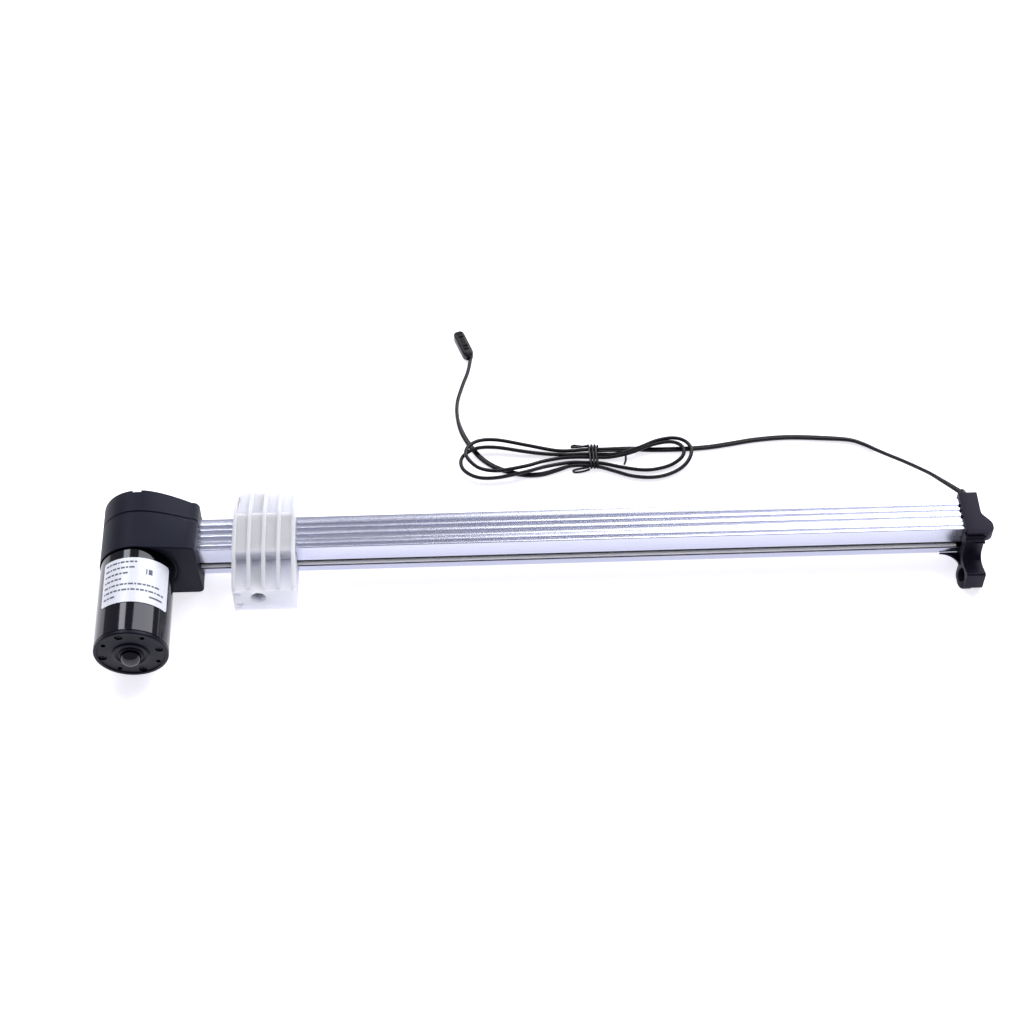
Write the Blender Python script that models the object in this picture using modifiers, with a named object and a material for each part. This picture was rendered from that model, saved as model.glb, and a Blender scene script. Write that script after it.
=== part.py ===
"""Linear actuator for reclining furniture: gear motor, rail, screw, slider, end bracket and lead.

Everything is laid out in millimetres in a layout frame: X runs along the rail from the gear
housing to the end bracket, -Y is the side the motor points to, Z is up.  X = 0 is the housing
face the rail comes out of, Y = 0 and Z = 0 are the middle of the rail.  When an object is made
its mesh is scaled to metres and shifted, so the finished part stands on Z = 0 with its
bounding box centred on X = 0, Y = 0.
"""

from math import cos, pi, radians, sin

import bmesh
import bpy
from mathutils import Matrix, Vector

MM = 0.001

# ---------------------------------------------------------------- driving dimensions, mm
GAP = 0.3               # between pieces that touch on the real object
TABLE_Z = -14.0         # the surface the actuator lies on

RAIL_W = 20.5           # across, in Y
RAIL_H = 22.0
RAIL_WALL = 1.8
RAIL_IN = -12.0         # end of the rail inside the housing
RAIL_OUT = 399.0        # end of the rail inside the end bracket
SLOT_TOP = -0.2         # slot in the -Y wall, through which the nut drives the slider
SLOT_BOTTOM = -4.0

MOTOR_X = -30.7         # motor and worm axis, parallel to Y
MOTOR_Z = 6.3
MOTOR_R = 18.8
MOTOR_END = -70.4       # outer face of the motor's end bell
CAN_FRONT = -12.2
CAN_WALL = 1.5

HOUSE_LEFT = 19.3       # round end of the housing, from the motor axis to the left
HOUSE_TOP = 20.0        # and upwards
HOUSE_FRONT = -18.7
HOUSE_BACK = 18.2
PARTING_Y = 4.5         # joint between the housing and its cover

SCREW_Z = -3.5          # axis of the leadscrew, parallel to X
SCREW_R = 4.0
JOURNAL_R = 3.0
SCREW_REAR = -42.5
SCREW_END = 397.5
END_JOURNAL_X = 388.0

WORM_R = 2.9
WHEEL_R = MOTOR_Z - SCREW_Z - WORM_R - GAP
WHEEL_TEETH = 20

SLIDER_X0 = 17.5
SLIDER_X1 = 50.5
SLIDER_Y = 33.2         # half width over the two wings
SLIDER_DECK = 6.0       # top of the solid wings
SLIDER_TOP = 14.0       # top of the ribs, over the rail
RIB_T = 1.9
BORE_R = 4.0            # trunnion holes in the two ends of the slider
BORE_X = 31.0
BORE_Z = 0.0
BORE_DEPTH = 15.0

BRACKET_X0 = 396.6
BRACKET_X1 = 408.0
FOOT_FRONT = -31.8
FOOT_HOLE_R = 4.0
FOOT_HOLE_Y = -25.6
FOOT_HOLE_Z = -8.2

CORD_R = 1.4
CORD_Z = TABLE_Z + CORD_R + GAP
HANK_X0, HANK_X1 = 139.0, 261.0
HANK_Y0, HANK_Y1 = 50.5, 77.0
HANK_HEIGHT = 6.0
TIE_X = 210.0

COVER_NOSE_X = 413.0    # the end bracket's rounded nose
X_MIN = MOTOR_X - HOUSE_LEFT
DOME_END = MOTOR_END - 4.2
ORIGIN = Vector(((X_MIN + COVER_NOSE_X) / 2, (DOME_END + SLIDER_Y) / 2, TABLE_Z))

# ---------------------------------------------------------------- scene set-up
for old in list(bpy.data.objects):
    bpy.data.objects.remove(old)

actuator = bpy.data.collections.new("linear_actuator")
cutters = bpy.data.collections.new("cutters")
bpy.context.scene.collection.children.link(actuator)
bpy.context.scene.collection.children.link(cutters)


def material(name, color, metallic, roughness):
    """A Principled material with one base colour."""
    mat = bpy.data.materials.new(name)
    mat.use_nodes = True
    shader = mat.node_tree.nodes["Principled BSDF"]
    shader.inputs["Base Color"].default_value = (*color, 1.0)
    shader.inputs["Metallic"].default_value = metallic
    shader.inputs["Roughness"].default_value = roughness
    return mat


# ---------------------------------------------------------------- shapes, given in layout mm
# each axis with the two directions across it, in the order that keeps the frame right-handed
FRAMES = {
    "X": Matrix(((0, 0, 1), (1, 0, 0), (0, 1, 0))).to_4x4(),
    "Y": Matrix(((0, 1, 0), (0, 0, 1), (1, 0, 0))).to_4x4(),
    "Z": Matrix.Identity(4),
}


def layout_point(axis, u, v, along):
    """The layout point u, v across an axis and so far along it: Y, Z for X and Z, X for Y."""
    return FRAMES[axis] @ Vector((u, v, along))


def stand(obj, axis, centre, along=0.0):
    """Puts an object's own Z on an axis of the layout, in metres."""
    spot = (layout_point(axis, *centre, along) - ORIGIN) * MM
    obj.matrix_world = Matrix.Translation(spot) @ FRAMES[axis]


def new_object(name, mesh, mat, home):
    if mat is None:
        mat = BLACK_PLASTIC
    mesh.materials.append(mat)
    obj = bpy.data.objects.new(name, mesh)
    home.objects.link(obj)
    if home is cutters:
        obj.hide_render = True
        obj.display_type = "WIRE"
    else:
        mesh.shade_smooth()
        mesh.set_sharp_from_angle(angle=radians(30))
    return obj


def box(name, x, y, z, mat=None, home=None):
    """A block from three (low, high) pairs."""
    size = Vector((x[1] - x[0], y[1] - y[0], z[1] - z[0])) * MM
    bm = bmesh.new()
    bmesh.ops.create_cube(bm, size=1.0, matrix=Matrix.Diagonal((*size, 1.0)))
    mesh = bpy.data.meshes.new(name)
    bm.to_mesh(mesh)
    bm.free()
    obj = new_object(name, mesh, mat, home or actuator)
    middle = Vector((sum(x), sum(y), sum(z))) / 2
    obj.location = (middle - ORIGIN) * MM
    return obj


def rod(name, axis, centre, radius, start, end, mat=None, segments=24, home=None):
    """A plain cylinder along an axis."""
    bm = bmesh.new()
    bmesh.ops.create_cone(bm, cap_ends=True, segments=segments, radius1=radius * MM,
                          radius2=radius * MM, depth=abs(end - start) * MM,
                          matrix=Matrix.Translation((0, 0, (start + end) / 2 * MM)))
    mesh = bpy.data.meshes.new(name)
    bm.to_mesh(mesh)
    bm.free()
    obj = new_object(name, mesh, mat, home or actuator)
    stand(obj, axis, centre)
    return obj


def turned(name, axis, centre, profile, mat=None, segments=24, home=None):
    """A turned piece: a profile of (radius, along) points under a Screw modifier.

    A profile that starts and ends on the axis makes a solid; any other is closed into a ring.
    """
    area = sum(r0 * a1 - r1 * a0
               for (r0, a0), (r1, a1) in zip(profile, profile[1:] + profile[:1]))
    if area > 0:
        profile = profile[::-1]
    solid = profile[0][0] == 0 and profile[-1][0] == 0
    count = len(profile)
    edges = [(k, (k + 1) % count) for k in range(count - 1 if solid else count)]
    mesh = bpy.data.meshes.new(name)
    mesh.from_pydata([(r * MM, 0.0, a * MM) for r, a in profile], edges, [])
    obj = new_object(name, mesh, mat, home or actuator)
    screw = obj.modifiers.new("turn", "SCREW")
    screw.axis = "Z"
    screw.steps = segments
    screw.render_steps = segments
    screw.use_merge_vertices = True
    screw.merge_threshold = 0.00001
    screw.use_smooth_shade = True
    stand(obj, axis, centre)
    return obj


def ring(name, axis, centre, inner, outer, start, end, mat=None, segments=24):
    profile = [(inner, start), (outer, start), (outer, end), (inner, end)]
    return turned(name, axis, centre, profile, mat, segments)


def flat(name, axis, outline, start, end, mat=None, centre=(0.0, 0.0), home=None):
    """A flat outline of (u, v) points about a centre, extruded along an axis."""
    curve = bpy.data.curves.new(name, "CURVE")
    curve.dimensions = "2D"
    curve.fill_mode = "BOTH"
    curve.extrude = (end - start) / 2 * MM
    spline = curve.splines.new("POLY")
    spline.points.add(len(outline) - 1)
    for target, (u, v) in zip(spline.points, outline):
        target.co = (u * MM, v * MM, 0.0, 1.0)
    spline.use_cyclic_u = True
    drawing = bpy.data.objects.new(name, curve)
    cutters.objects.link(drawing)
    view = bpy.context.evaluated_depsgraph_get()
    mesh = bpy.data.meshes.new_from_object(drawing.evaluated_get(view))
    bpy.data.objects.remove(drawing)
    bpy.data.curves.remove(curve)
    bm = bmesh.new()
    bm.from_mesh(mesh)
    bmesh.ops.remove_doubles(bm, verts=bm.verts, dist=0.000005)
    bmesh.ops.translate(bm, verts=bm.verts, vec=(0, 0, (start + end) / 2 * MM))
    bmesh.ops.recalc_face_normals(bm, faces=bm.faces)
    bm.to_mesh(mesh)
    bm.free()
    mesh.name = name
    obj = new_object(name, mesh, mat, home or actuator)
    stand(obj, axis, centre)
    return obj


def loft(name, loops, mat=None, axis="X", centre=None, home=None):
    """A body through loops of layout points with equal counts, for sections that differ."""
    base = layout_point(axis, *centre, 0.0) if centre else Vector((0, 0, 0))
    bm = bmesh.new()
    rings = [[bm.verts.new((Vector(p) - base) * MM) for p in loop] for loop in loops]
    count = len(rings[0])
    for near, far in zip(rings, rings[1:]):
        for i in range(count):
            j = (i + 1) % count
            bm.faces.new((near[i], near[j], far[j], far[i]))
    bm.faces.new(rings[0][::-1])
    bm.faces.new(rings[-1])
    bmesh.ops.recalc_face_normals(bm, faces=bm.faces)
    mesh = bpy.data.meshes.new(name)
    bm.to_mesh(mesh)
    bm.free()
    obj = new_object(name, mesh, mat, home or actuator)
    obj.location = (base - ORIGIN) * MM
    return obj


def tube(name, points, radius, mat):
    """A cable: a bevelled curve through layout points."""
    curve = bpy.data.curves.new(name, "CURVE")
    curve.dimensions = "3D"
    curve.bevel_depth = radius * MM
    curve.bevel_resolution = 2
    curve.use_fill_caps = True
    spline = curve.splines.new("POLY")
    spline.points.add(len(points) - 1)
    for target, point in zip(spline.points, points):
        target.co = (*((Vector(point) - ORIGIN) * MM), 1.0)
    curve.materials.append(mat)
    obj = bpy.data.objects.new(name, curve)
    actuator.objects.link(obj)
    return obj


def smooth_route(points, spacing):
    """Points at about an even spacing on a Catmull-Rom curve through the given ones."""
    ends = [points[0] * 2 - points[1]] + points + [points[-1] * 2 - points[-2]]
    route = []
    for before, near, far, after in zip(ends, ends[1:], ends[2:], ends[3:]):
        steps = max(1, round((far - near).length / spacing))
        for k in range(steps):
            t = k / steps
            route.append(0.5 * (2 * near + (far - before) * t
                                + (2 * before - 5 * near + 4 * far - after) * t * t
                                + (3 * near - before - 3 * far + after) * t ** 3))
    route.append(points[-1])
    return route


def arc(centre, radius, start_deg, end_deg, steps):
    """Points on a circle, both ends included."""
    points = []
    for k in range(steps + 1):
        angle = radians(start_deg + (end_deg - start_deg) * k / steps)
        points.append((centre[0] + radius * cos(angle), centre[1] + radius * sin(angle)))
    return points


def combine(obj, operation, tools):
    for tool in tools:
        boolean = obj.modifiers.new(tool.name, "BOOLEAN")
        boolean.object = tool
        boolean.operation = operation
        boolean.solver = "EXACT"


def cut(obj, *tools):
    """Takes the tool bodies out of an object."""
    combine(obj, "DIFFERENCE", tools)


def join(obj, *tools):
    """Adds the tool bodies to an object."""
    combine(obj, "UNION", tools)


def box_tool(name, x, y, z):
    return box(name, x, y, z, home=cutters)


def rod_tool(name, axis, centre, radius, start, end, segments=24):
    return rod(name, axis, centre, radius, start, end, segments=segments, home=cutters)


BLACK_PLASTIC = material("housing_plastic", (0.020, 0.021, 0.030), 0.0, 0.55)
BRACKET_PLASTIC = material("bracket_plastic", (0.026, 0.025, 0.036), 0.0, 0.45)
GLOSS_BLACK = material("motor_enamel", (0.004, 0.004, 0.005), 0.0, 0.12)
END_PLATE = material("end_plate_black", (0.010, 0.010, 0.012), 0.2, 0.42)
ALUMINIUM = material("rail_aluminium", (0.80, 0.81, 0.85), 1.0, 0.32)
NYLON = material("white_nylon", (0.80, 0.81, 0.85), 0.0, 0.42)
LABEL = material("label_film", (0.86, 0.87, 0.90), 0.0, 0.45)
STEEL = material("bright_steel", (0.56, 0.57, 0.58), 1.0, 0.30)
DARK_STEEL = material("dark_steel", (0.10, 0.10, 0.11), 1.0, 0.40)
BRONZE = material("sintered_bronze", (0.45, 0.28, 0.13), 1.0, 0.50)
COPPER = material("copper", (0.72, 0.30, 0.16), 1.0, 0.35)
CARBON = material("carbon", (0.03, 0.03, 0.03), 0.0, 0.60)
FERRITE = material("ferrite", (0.05, 0.05, 0.055), 0.0, 0.65)
ACETAL = material("drive_acetal", (0.62, 0.63, 0.60), 0.0, 0.45)
BOARD = material("board_green", (0.03, 0.13, 0.06), 0.0, 0.50)
CABLE = material("cable_pvc", (0.012, 0.012, 0.014), 0.0, 0.38)
BRASS = material("brass", (0.72, 0.52, 0.24), 1.0, 0.32)

MOTOR_C = (MOTOR_Z, MOTOR_X)
SCREW_C = (0.0, SCREW_Z)

# ---------------------------------------------------------------- gear housing
def housing_outline(right_drop):
    """Round about the motor at the left and square at the right, as (x, z) points.

    right_drop is how far the top has fallen where it meets the right-hand corner.
    """
    points = []
    for k in range(21):
        angle = radians(270 - 9 * k)
        below = sin(angle) < 0
        rise = MOTOR_Z - TABLE_Z if below else HOUSE_TOP
        points.append((MOTOR_X + HOUSE_LEFT * cos(angle), MOTOR_Z + rise * sin(angle)))
    corner_r = 4.2
    start_x, start_z = -22.5, MOTOR_Z + HOUSE_TOP
    end_x, end_z = -3.8, start_z - right_drop
    points += [(-26.0, start_z), (start_x, start_z - 0.05 * right_drop)]
    for t in (0.15, 0.4, 0.7, 1.0):
        points.append((start_x + (end_x - start_x) * t, start_z - right_drop * (0.05 + 0.95 * t)))
    points += arc((-corner_r, end_z - corner_r * 0.9), corner_r, 60, 0, 4)
    points += arc((-2.5, TABLE_Z + 2.5), 2.5, 0, -90, 4)
    return points


def housing_section(y, inset):
    """The outline at one station, drawn in a little near the two end faces."""
    depth = (y - HOUSE_FRONT) / (HOUSE_BACK - HOUSE_FRONT)
    half_x = (HOUSE_LEFT - MOTOR_X) / 2
    half_z = (HOUSE_TOP + MOTOR_Z - TABLE_Z) / 2
    loop = []
    for x, z in housing_outline(1.6 + 9.0 * depth):
        loop.append((-half_x + (x + half_x) * (1 - inset / half_x), y,
                     MOTOR_Z + (z - MOTOR_Z) * (1 - inset / half_z)))
    return loop


FRONT_ROUNDING = ((0.0, 1.0), (0.4, 0.4), (1.1, 0.0))
BACK_ROUNDING = ((1.8, 0.0), (0.9, 0.2), (0.3, 0.6), (0.0, 1.3))
front_stations = [(HOUSE_FRONT + depth, inset) for depth, inset in FRONT_ROUNDING]
front_stations += [(-8.0, 0.0), (PARTING_Y - GAP / 2, 0.0)]
back_stations = [(PARTING_Y + GAP / 2, 0.0)]
back_stations += [(HOUSE_BACK - depth, inset) for depth, inset in BACK_ROUNDING]

housing = loft("gear_housing", [housing_section(*s) for s in front_stations], BLACK_PLASTIC)
cover = loft("gear_cover", [housing_section(*s) for s in back_stations], BLACK_PLASTIC)
for shell in (housing, cover):
    cut(shell,
        rod_tool("rear_bush_seat", "X", SCREW_C, 5.6, SCREW_REAR - 0.6, -38.0),
        rod_tool("wheel_chamber", "X", SCREW_C, WHEEL_R + 0.8, -37.0, -23.6, 32),
        rod_tool("bearing_seat", "X", SCREW_C, 8.3, -23.4, -16.4, 32),
        rod_tool("screw_passage", "X", SCREW_C, 4.7, -42.0, -10.0),
        box_tool("rail_socket", (RAIL_IN - GAP, 5.0),
                 (-RAIL_W / 2 - GAP, RAIL_W / 2 + GAP), (-RAIL_H / 2 - GAP, RAIL_H / 2 + GAP)),
        rod_tool("worm_chamber", "Y", MOTOR_C, WORM_R + 0.6, -13.0, 9.0),
        rod_tool("front_bush_seat", "Y", MOTOR_C, 4.8, 8.4, 15.0))
cut(housing, rod_tool("motor_socket", "Y", MOTOR_C, MOTOR_R + GAP, HOUSE_FRONT - 2.0,
                      CAN_FRONT + GAP, 48))

COVER_SCREWS = ((8.0, -44.6), (19.6, -40.6), (13.4, -6.6), (-10.4, -14.4))
for k, spot in enumerate(COVER_SCREWS):
    head = HOUSE_BACK - 2.1
    cut(cover, rod_tool(f"cover_hole_{k}", "Y", spot, 1.4, 2.0, 20.0, 12),
        rod_tool(f"cover_sink_{k}", "Y", spot, 2.9, head - GAP, 21.0, 16))
    cut(housing, rod_tool(f"housing_hole_{k}", "Y", spot, 1.4, -6.0, 6.0, 12))
    turned(f"housing_screw_{k + 1}", "Y", spot,
           [(0, -5.5), (1.1, -5.5), (1.1, head), (2.6, head), (2.6, head + 1.2),
            (1.8, head + 1.6), (0, head + 1.6)], DARK_STEEL, 12)

# ---------------------------------------------------------------- motor, fixed parts
can_rear = MOTOR_END + 2.2
ring("motor_can", "Y", MOTOR_C, MOTOR_R - CAN_WALL, MOTOR_R, can_rear, CAN_FRONT,
     GLOSS_BLACK, 64)

# the label wraps the can on the side turned up, a little past the top
label_outline = arc((0, 0), MOTOR_R + 0.6, 65, -49, 26) + arc((0, 0), MOTOR_R + GAP, -49, 65, 26)
flat("motor_label", "Y", label_outline, -51.4, -24.0, LABEL, MOTOR_C)

plate_r = MOTOR_R - CAN_WALL - GAP
front_plate = ring("motor_front_plate", "Y", MOTOR_C, 4.0, plate_r, -14.2, -12.6, STEEL, 32)


def about_motor(angle, radius):
    """A spot beside the motor axis, as the (z, x) that pieces along Y take."""
    return (MOTOR_Z + radius * sin(radians(angle)), MOTOR_X + radius * cos(radians(angle)))


for k, angle in enumerate((0.0, 180.0)):
    spot = about_motor(angle, 9.0)
    cut(front_plate, rod_tool(f"plate_hole_{k}", "Y", spot, 1.5, -15.0, -11.0, 12))
    cut(housing, rod_tool(f"mount_hole_{k}", "Y", spot, 1.45, -13.0, -8.0, 12))
    turned(f"motor_mount_screw_{k + 1}", "Y", spot,
           [(0, -16.3), (2.2, -16.3), (2.2, -14.5), (1.1, -14.5), (1.1, -9.0), (0, -9.0)],
           STEEL, 12)

# from the rim: a rounded edge, a step down, two raised rings and a seat for the dome
end_bell = turned("motor_end_bell", "Y", MOTOR_C, [
    (0, can_rear - GAP), (MOTOR_R, can_rear - GAP), (MOTOR_R, MOTOR_END + 0.5),
    (MOTOR_R - 0.5, MOTOR_END), (MOTOR_R - 1.6, MOTOR_END), (MOTOR_R - 1.9, MOTOR_END + 0.5),
    (9.6, MOTOR_END + 0.5), (9.0, MOTOR_END - 0.6), (7.4, MOTOR_END - 0.9),
    (7.0, MOTOR_END - 0.3), (6.2, MOTOR_END - 0.3), (5.9, MOTOR_END - 1.0), (0, MOTOR_END - 1.0),
], END_PLATE, 64)
for k, (screw_angle, vent_angle) in enumerate(((12, 61), (107, 150), (192, 241), (287, 330))):
    screw_spot = about_motor(screw_angle, 14.8)
    vent_spot = about_motor(vent_angle, 14.8)
    cut(end_bell,
        rod_tool(f"bell_hole_{k}", "Y", screw_spot, 2.0, MOTOR_END - 1.0, can_rear, 16),
        rod_tool(f"bell_vent_{k}", "Y", vent_spot, 1.2, MOTOR_END - 1.0, can_rear, 12))
    face = MOTOR_END + 0.4
    turned(f"end_bell_screw_{k + 1}", "Y", screw_spot,
           [(0, face), (1.6, face), (1.6, face + 1.2), (1.1, face + 1.2), (1.1, face + 3.2),
            (0, face + 3.2)], DARK_STEEL, 12)

dome_start, dome_rise = MOTOR_END - 1.3, MOTOR_END - 1.3 - DOME_END
dome = [(0, dome_start), (5.3, dome_start)]
for k in range(1, 6):
    angle = radians(18 * k)
    dome.append((5.1 * cos(angle) if k < 5 else 0, dome_start - dome_rise * sin(angle)))
turned("end_bell_dome", "Y", MOTOR_C, dome, GLOSS_BLACK, 32)

magnet_out = plate_r
magnet_in = magnet_out - 3.6
for name, middle in (("motor_magnet_upper", 0), ("motor_magnet_lower", 180)):
    outline = arc((0, 0), magnet_out, middle - 66, middle + 66, 14)
    outline += arc((0, 0), magnet_in, middle + 66, middle - 66, 14)
    flat(name, "Y", outline, -56.0, -20.0, FERRITE, MOTOR_C)

ring("brush_plate", "Y", MOTOR_C, 6.6, plate_r, -66.8, -65.4, BOARD, 32)
for name, side in (("motor_brush_left", -1), ("motor_brush_right", 1)):
    inner, outer = MOTOR_X + side * 5.7, MOTOR_X + side * 10.1
    box(name, (min(inner, outer), max(inner, outer)), (-64.8, -60.4),
        (MOTOR_Z - 1.6, MOTOR_Z + 1.6), CARBON)
ring("motor_rear_bush", "Y", MOTOR_C, 1.9, 4.6, -68.2, -67.1, BRONZE)
ring("motor_front_bush", "Y", MOTOR_C, 1.9, 4.5, 9.3, 14.7, BRONZE)


# ---------------------------------------------------------------- rotor
WORM_PITCH = 2.08
WORM_START = -8.3
WORM_TURNS = 8
WORM_ROOT = 2.1


def shaft_loop(y, radius_at, segments=16):
    loop = []
    for s in range(segments):
        angle = 2 * pi * s / segments
        radius = radius_at(s / segments)
        loop.append(layout_point("Y", MOTOR_Z + radius * cos(angle),
                                 MOTOR_X + radius * sin(angle), y))
    return loop


def worm_shaft_loops():
    """Journal, worm with one helical thread, journal: one turned and threaded piece."""
    journal = 1.6
    loops = [shaft_loop(-68.2, lambda turn: journal), shaft_loop(-10.6, lambda turn: journal),
             shaft_loop(-10.2, lambda turn: WORM_ROOT)]
    steps = WORM_TURNS * 4
    for k in range(steps + 1):
        threaded = 1 < k < steps - 1

        def thread(turn, k=k, threaded=threaded):
            crest = threaded and (k / 4 - turn) % 1.0 < 0.45
            return WORM_R if crest else WORM_ROOT

        loops.append(shaft_loop(WORM_START + WORM_PITCH * k / 4, thread))
    loops += [shaft_loop(8.7, lambda turn: WORM_ROOT), shaft_loop(9.0, lambda turn: journal),
              shaft_loop(14.4, lambda turn: journal)]
    return loops


loft("worm_shaft", worm_shaft_loops(), STEEL, "Y", MOTOR_C)

lamination = []
for pole in range(5):
    lamination += arc((0, 0), magnet_in - 0.7, 72 * pole - 30, 72 * pole + 30, 6)
    lamination += arc((0, 0), 6.0, 72 * pole + 32, 72 * pole + 40, 1)
armature = flat("armature_stack", "Y", lamination, -52.0, -24.0, DARK_STEEL, MOTOR_C)
cut(armature, rod_tool("armature_bore", "Y", MOTOR_C, 1.9, -60.0, -20.0, 16))
ring("armature_winding_rear", "Y", MOTOR_C, 2.4, 10.2, -56.5, -52.3, COPPER)
ring("armature_winding_front", "Y", MOTOR_C, 2.4, 10.2, -23.7, -19.6, COPPER)
ring("commutator", "Y", MOTOR_C, 1.9, 5.3, -65.0, -57.0, COPPER)

# ---------------------------------------------------------------- leadscrew and wheel
turned("leadscrew", "X", SCREW_C, [
    (0, SCREW_REAR), (JOURNAL_R, SCREW_REAR), (JOURNAL_R, -15.2), (SCREW_R, -14.8),
    (SCREW_R, END_JOURNAL_X), (2.6, END_JOURNAL_X + 0.4), (2.6, SCREW_END), (0, SCREW_END),
], STEEL, 20)

wheel_teeth = []
for k in range(WHEEL_TEETH):
    for offset, radius in ((-0.34, WHEEL_R - 1.2), (-0.16, WHEEL_R), (0.16, WHEEL_R),
                           (0.34, WHEEL_R - 1.2)):
        angle = 2 * pi * (k + 0.5 + offset) / WHEEL_TEETH
        wheel_teeth.append((radius * cos(angle), radius * sin(angle)))
wheel = flat("worm_wheel", "X", wheel_teeth, -34.9, -26.5, ACETAL, SCREW_C)
cut(wheel, rod_tool("wheel_bore", "X", SCREW_C, JOURNAL_R + GAP, -40.0, -20.0, 20))
ring("wheel_lock_ring", "X", SCREW_C, JOURNAL_R + GAP, 5.0, -26.2, -24.4, DARK_STEEL)
ring("bearing_inner_ring", "X", SCREW_C, JOURNAL_R + GAP, 4.5, -22.4, -17.4, STEEL)
ring("bearing_ball_cage", "X", SCREW_C, 4.8, 6.1, -21.2, -18.6, BRASS)
ring("bearing_outer_ring", "X", SCREW_C, 6.4, 8.0, -22.4, -17.4, STEEL, 32)
ring("leadscrew_rear_bush", "X", SCREW_C, JOURNAL_R + GAP, 5.3, -42.6, -38.4, BRONZE)
ring("leadscrew_end_bush", "X", SCREW_C, 2.9, 4.6, 389.6, 398.4, BRONZE)


# ---------------------------------------------------------------- rail
def rail_outline():
    """The C-section as one loop of (y, z): four flutes on top, a slot in the -Y wall."""
    w, h, t = RAIL_W / 2, RAIL_H / 2, RAIL_WALL
    outer = [(-w, SLOT_TOP), (-w, h - 1.6), (-w + 0.25, h - 0.45), (-w + 0.9, h)]
    for y in (-8.0, -2.05, 2.05, 5.3):
        outer += [(y - 0.55, h), (y - 0.2, h - 0.6), (y + 0.2, h - 0.6), (y + 0.55, h)]
    outer += [(w - 0.5, h), (w, h - 0.5), (w, -h + 0.8), (w - 0.8, -h)]
    outer += [(-w + 3.2, -h), (-w + 1.6, -h + 0.35), (-w + 0.45, -h + 1.4), (-w, -h + 3.0)]
    outer += [(-w, SLOT_BOTTOM - 1.2), (-w + 0.5, SLOT_BOTTOM - 1.0),
              (-w + 0.5, SLOT_BOTTOM - 0.6), (-w, SLOT_BOTTOM - 0.4), (-w, SLOT_BOTTOM)]
    inner = [(-w + t, SLOT_BOTTOM), (-w + t, -h + 3.0), (-w + 3.2, -h + t), (w - t, -h + t),
             (w - t, h - t), (-w + t, h - t), (-w + t, SLOT_TOP)]
    return outer + inner


flat("rail", "X", rail_outline(), RAIL_IN, RAIL_OUT, ALUMINIUM)


# ---------------------------------------------------------------- slider
def slider_plan():
    """The block from above: clipped corners, and a shallow hollow in the far end."""
    x0, x1, y = SLIDER_X0, SLIDER_X1, SLIDER_Y
    near = [(x0, -14.0), (x0 + 0.4, -y + 2.0), (x0 + 1.8, -y), (x1 - 1.8, -y),
            (x1 - 0.4, -y + 2.0), (x1, -14.0)]
    far = [(x1, 14.0), (x1 - 2.4, y - 4.0), (x1 - 3.2, y - 0.8), (x1 - 5.6, y),
           (x1 - 9.4, y - 0.2), (x1 - 13.0, y - 1.5), (x0 + 12.0, y - 1.7), (x0 + 8.6, y - 0.4),
           (x0 + 5.6, y), (x0 + 3.4, y - 1.0), (x0 + 1.4, y - 5.0), (x0, 14.0)]
    return near + far


SADDLE = [(-13.8, SLIDER_DECK - 3), (12.0, SLIDER_DECK - 3), (12.0, 12.6), (10.8, 12.9),
          (-12.4, 12.9), (-13.8, 11.6)]
RIB = [(-32.2, SLIDER_DECK - 2), (31.0, SLIDER_DECK - 2), (31.0, SLIDER_DECK + 0.6),
       (14.5, SLIDER_TOP - 0.4), (12.0, SLIDER_TOP), (-12.5, SLIDER_TOP),
       (-15.0, SLIDER_TOP - 0.3), (-32.2, SLIDER_DECK + 0.5)]

carriage = flat("slider_carriage", "Z", slider_plan(), TABLE_Z, SLIDER_DECK, NYLON)
join(carriage, flat("saddle", "X", SADDLE, SLIDER_X0 + 0.5, SLIDER_X1 - 0.5, home=cutters))
first_rib = SLIDER_X0 + RIB_T / 2 + 0.3
last_rib = SLIDER_X1 - RIB_T / 2 - 0.3
for k in range(5):
    middle = first_rib + (last_rib - first_rib) * k / 4
    join(carriage, flat(f"rib_{k}", "X", RIB, middle - RIB_T / 2, middle + RIB_T / 2,
                        home=cutters))

window_y = RAIL_W / 2 + 0.45
window_z = RAIL_H / 2 + 0.45
bore = (BORE_Z, BORE_X)
TONGUE_X = (24.0, 44.0)
TONGUE_Z = (-3.4, -0.8)
cut(carriage,
    box_tool("rail_window", (SLIDER_X0 - 5, SLIDER_X1 + 5), (-window_y, window_y),
             (-window_z, window_z)),
    rod_tool("near_bore", "Y", bore, BORE_R, -SLIDER_Y - 2, -SLIDER_Y + BORE_DEPTH, 32),
    rod_tool("far_bore", "Y", bore, BORE_R, SLIDER_Y - BORE_DEPTH, SLIDER_Y + 2, 32),
    box_tool("tongue_pocket", (TONGUE_X[0] - GAP, TONGUE_X[1] + GAP), (-14.3, -8.0),
             (TONGUE_Z[0] - GAP, TONGUE_Z[1] + GAP)),
    flat("near_lean", "X", [(-SLIDER_Y - 1, TABLE_Z - 1), (-SLIDER_Y + 2.1, TABLE_Z - 1),
                           (-SLIDER_Y, -7.0), (-SLIDER_Y - 1, -7.0)],
         SLIDER_X0 - 5, SLIDER_X1 + 5, home=cutters),
    box_tool("recess_bar", (19.6, 23.0), (-SLIDER_Y - 1, -SLIDER_Y + 1.6), (-6.0, -4.6)),
    box_tool("recess_stem", (20.7, 21.9), (-SLIDER_Y - 1, -SLIDER_Y + 1.6), (-10.4, -5.0)))

bush_r = BORE_R - GAP
ring("trunnion_bush_near", "Y", bore, bush_r - 0.7, bush_r, -30.8, -19.0, NYLON, 32)
ring("trunnion_bush_far", "Y", bore, bush_r - 0.7, bush_r, 19.0, 31.0, NYLON, 32)

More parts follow.
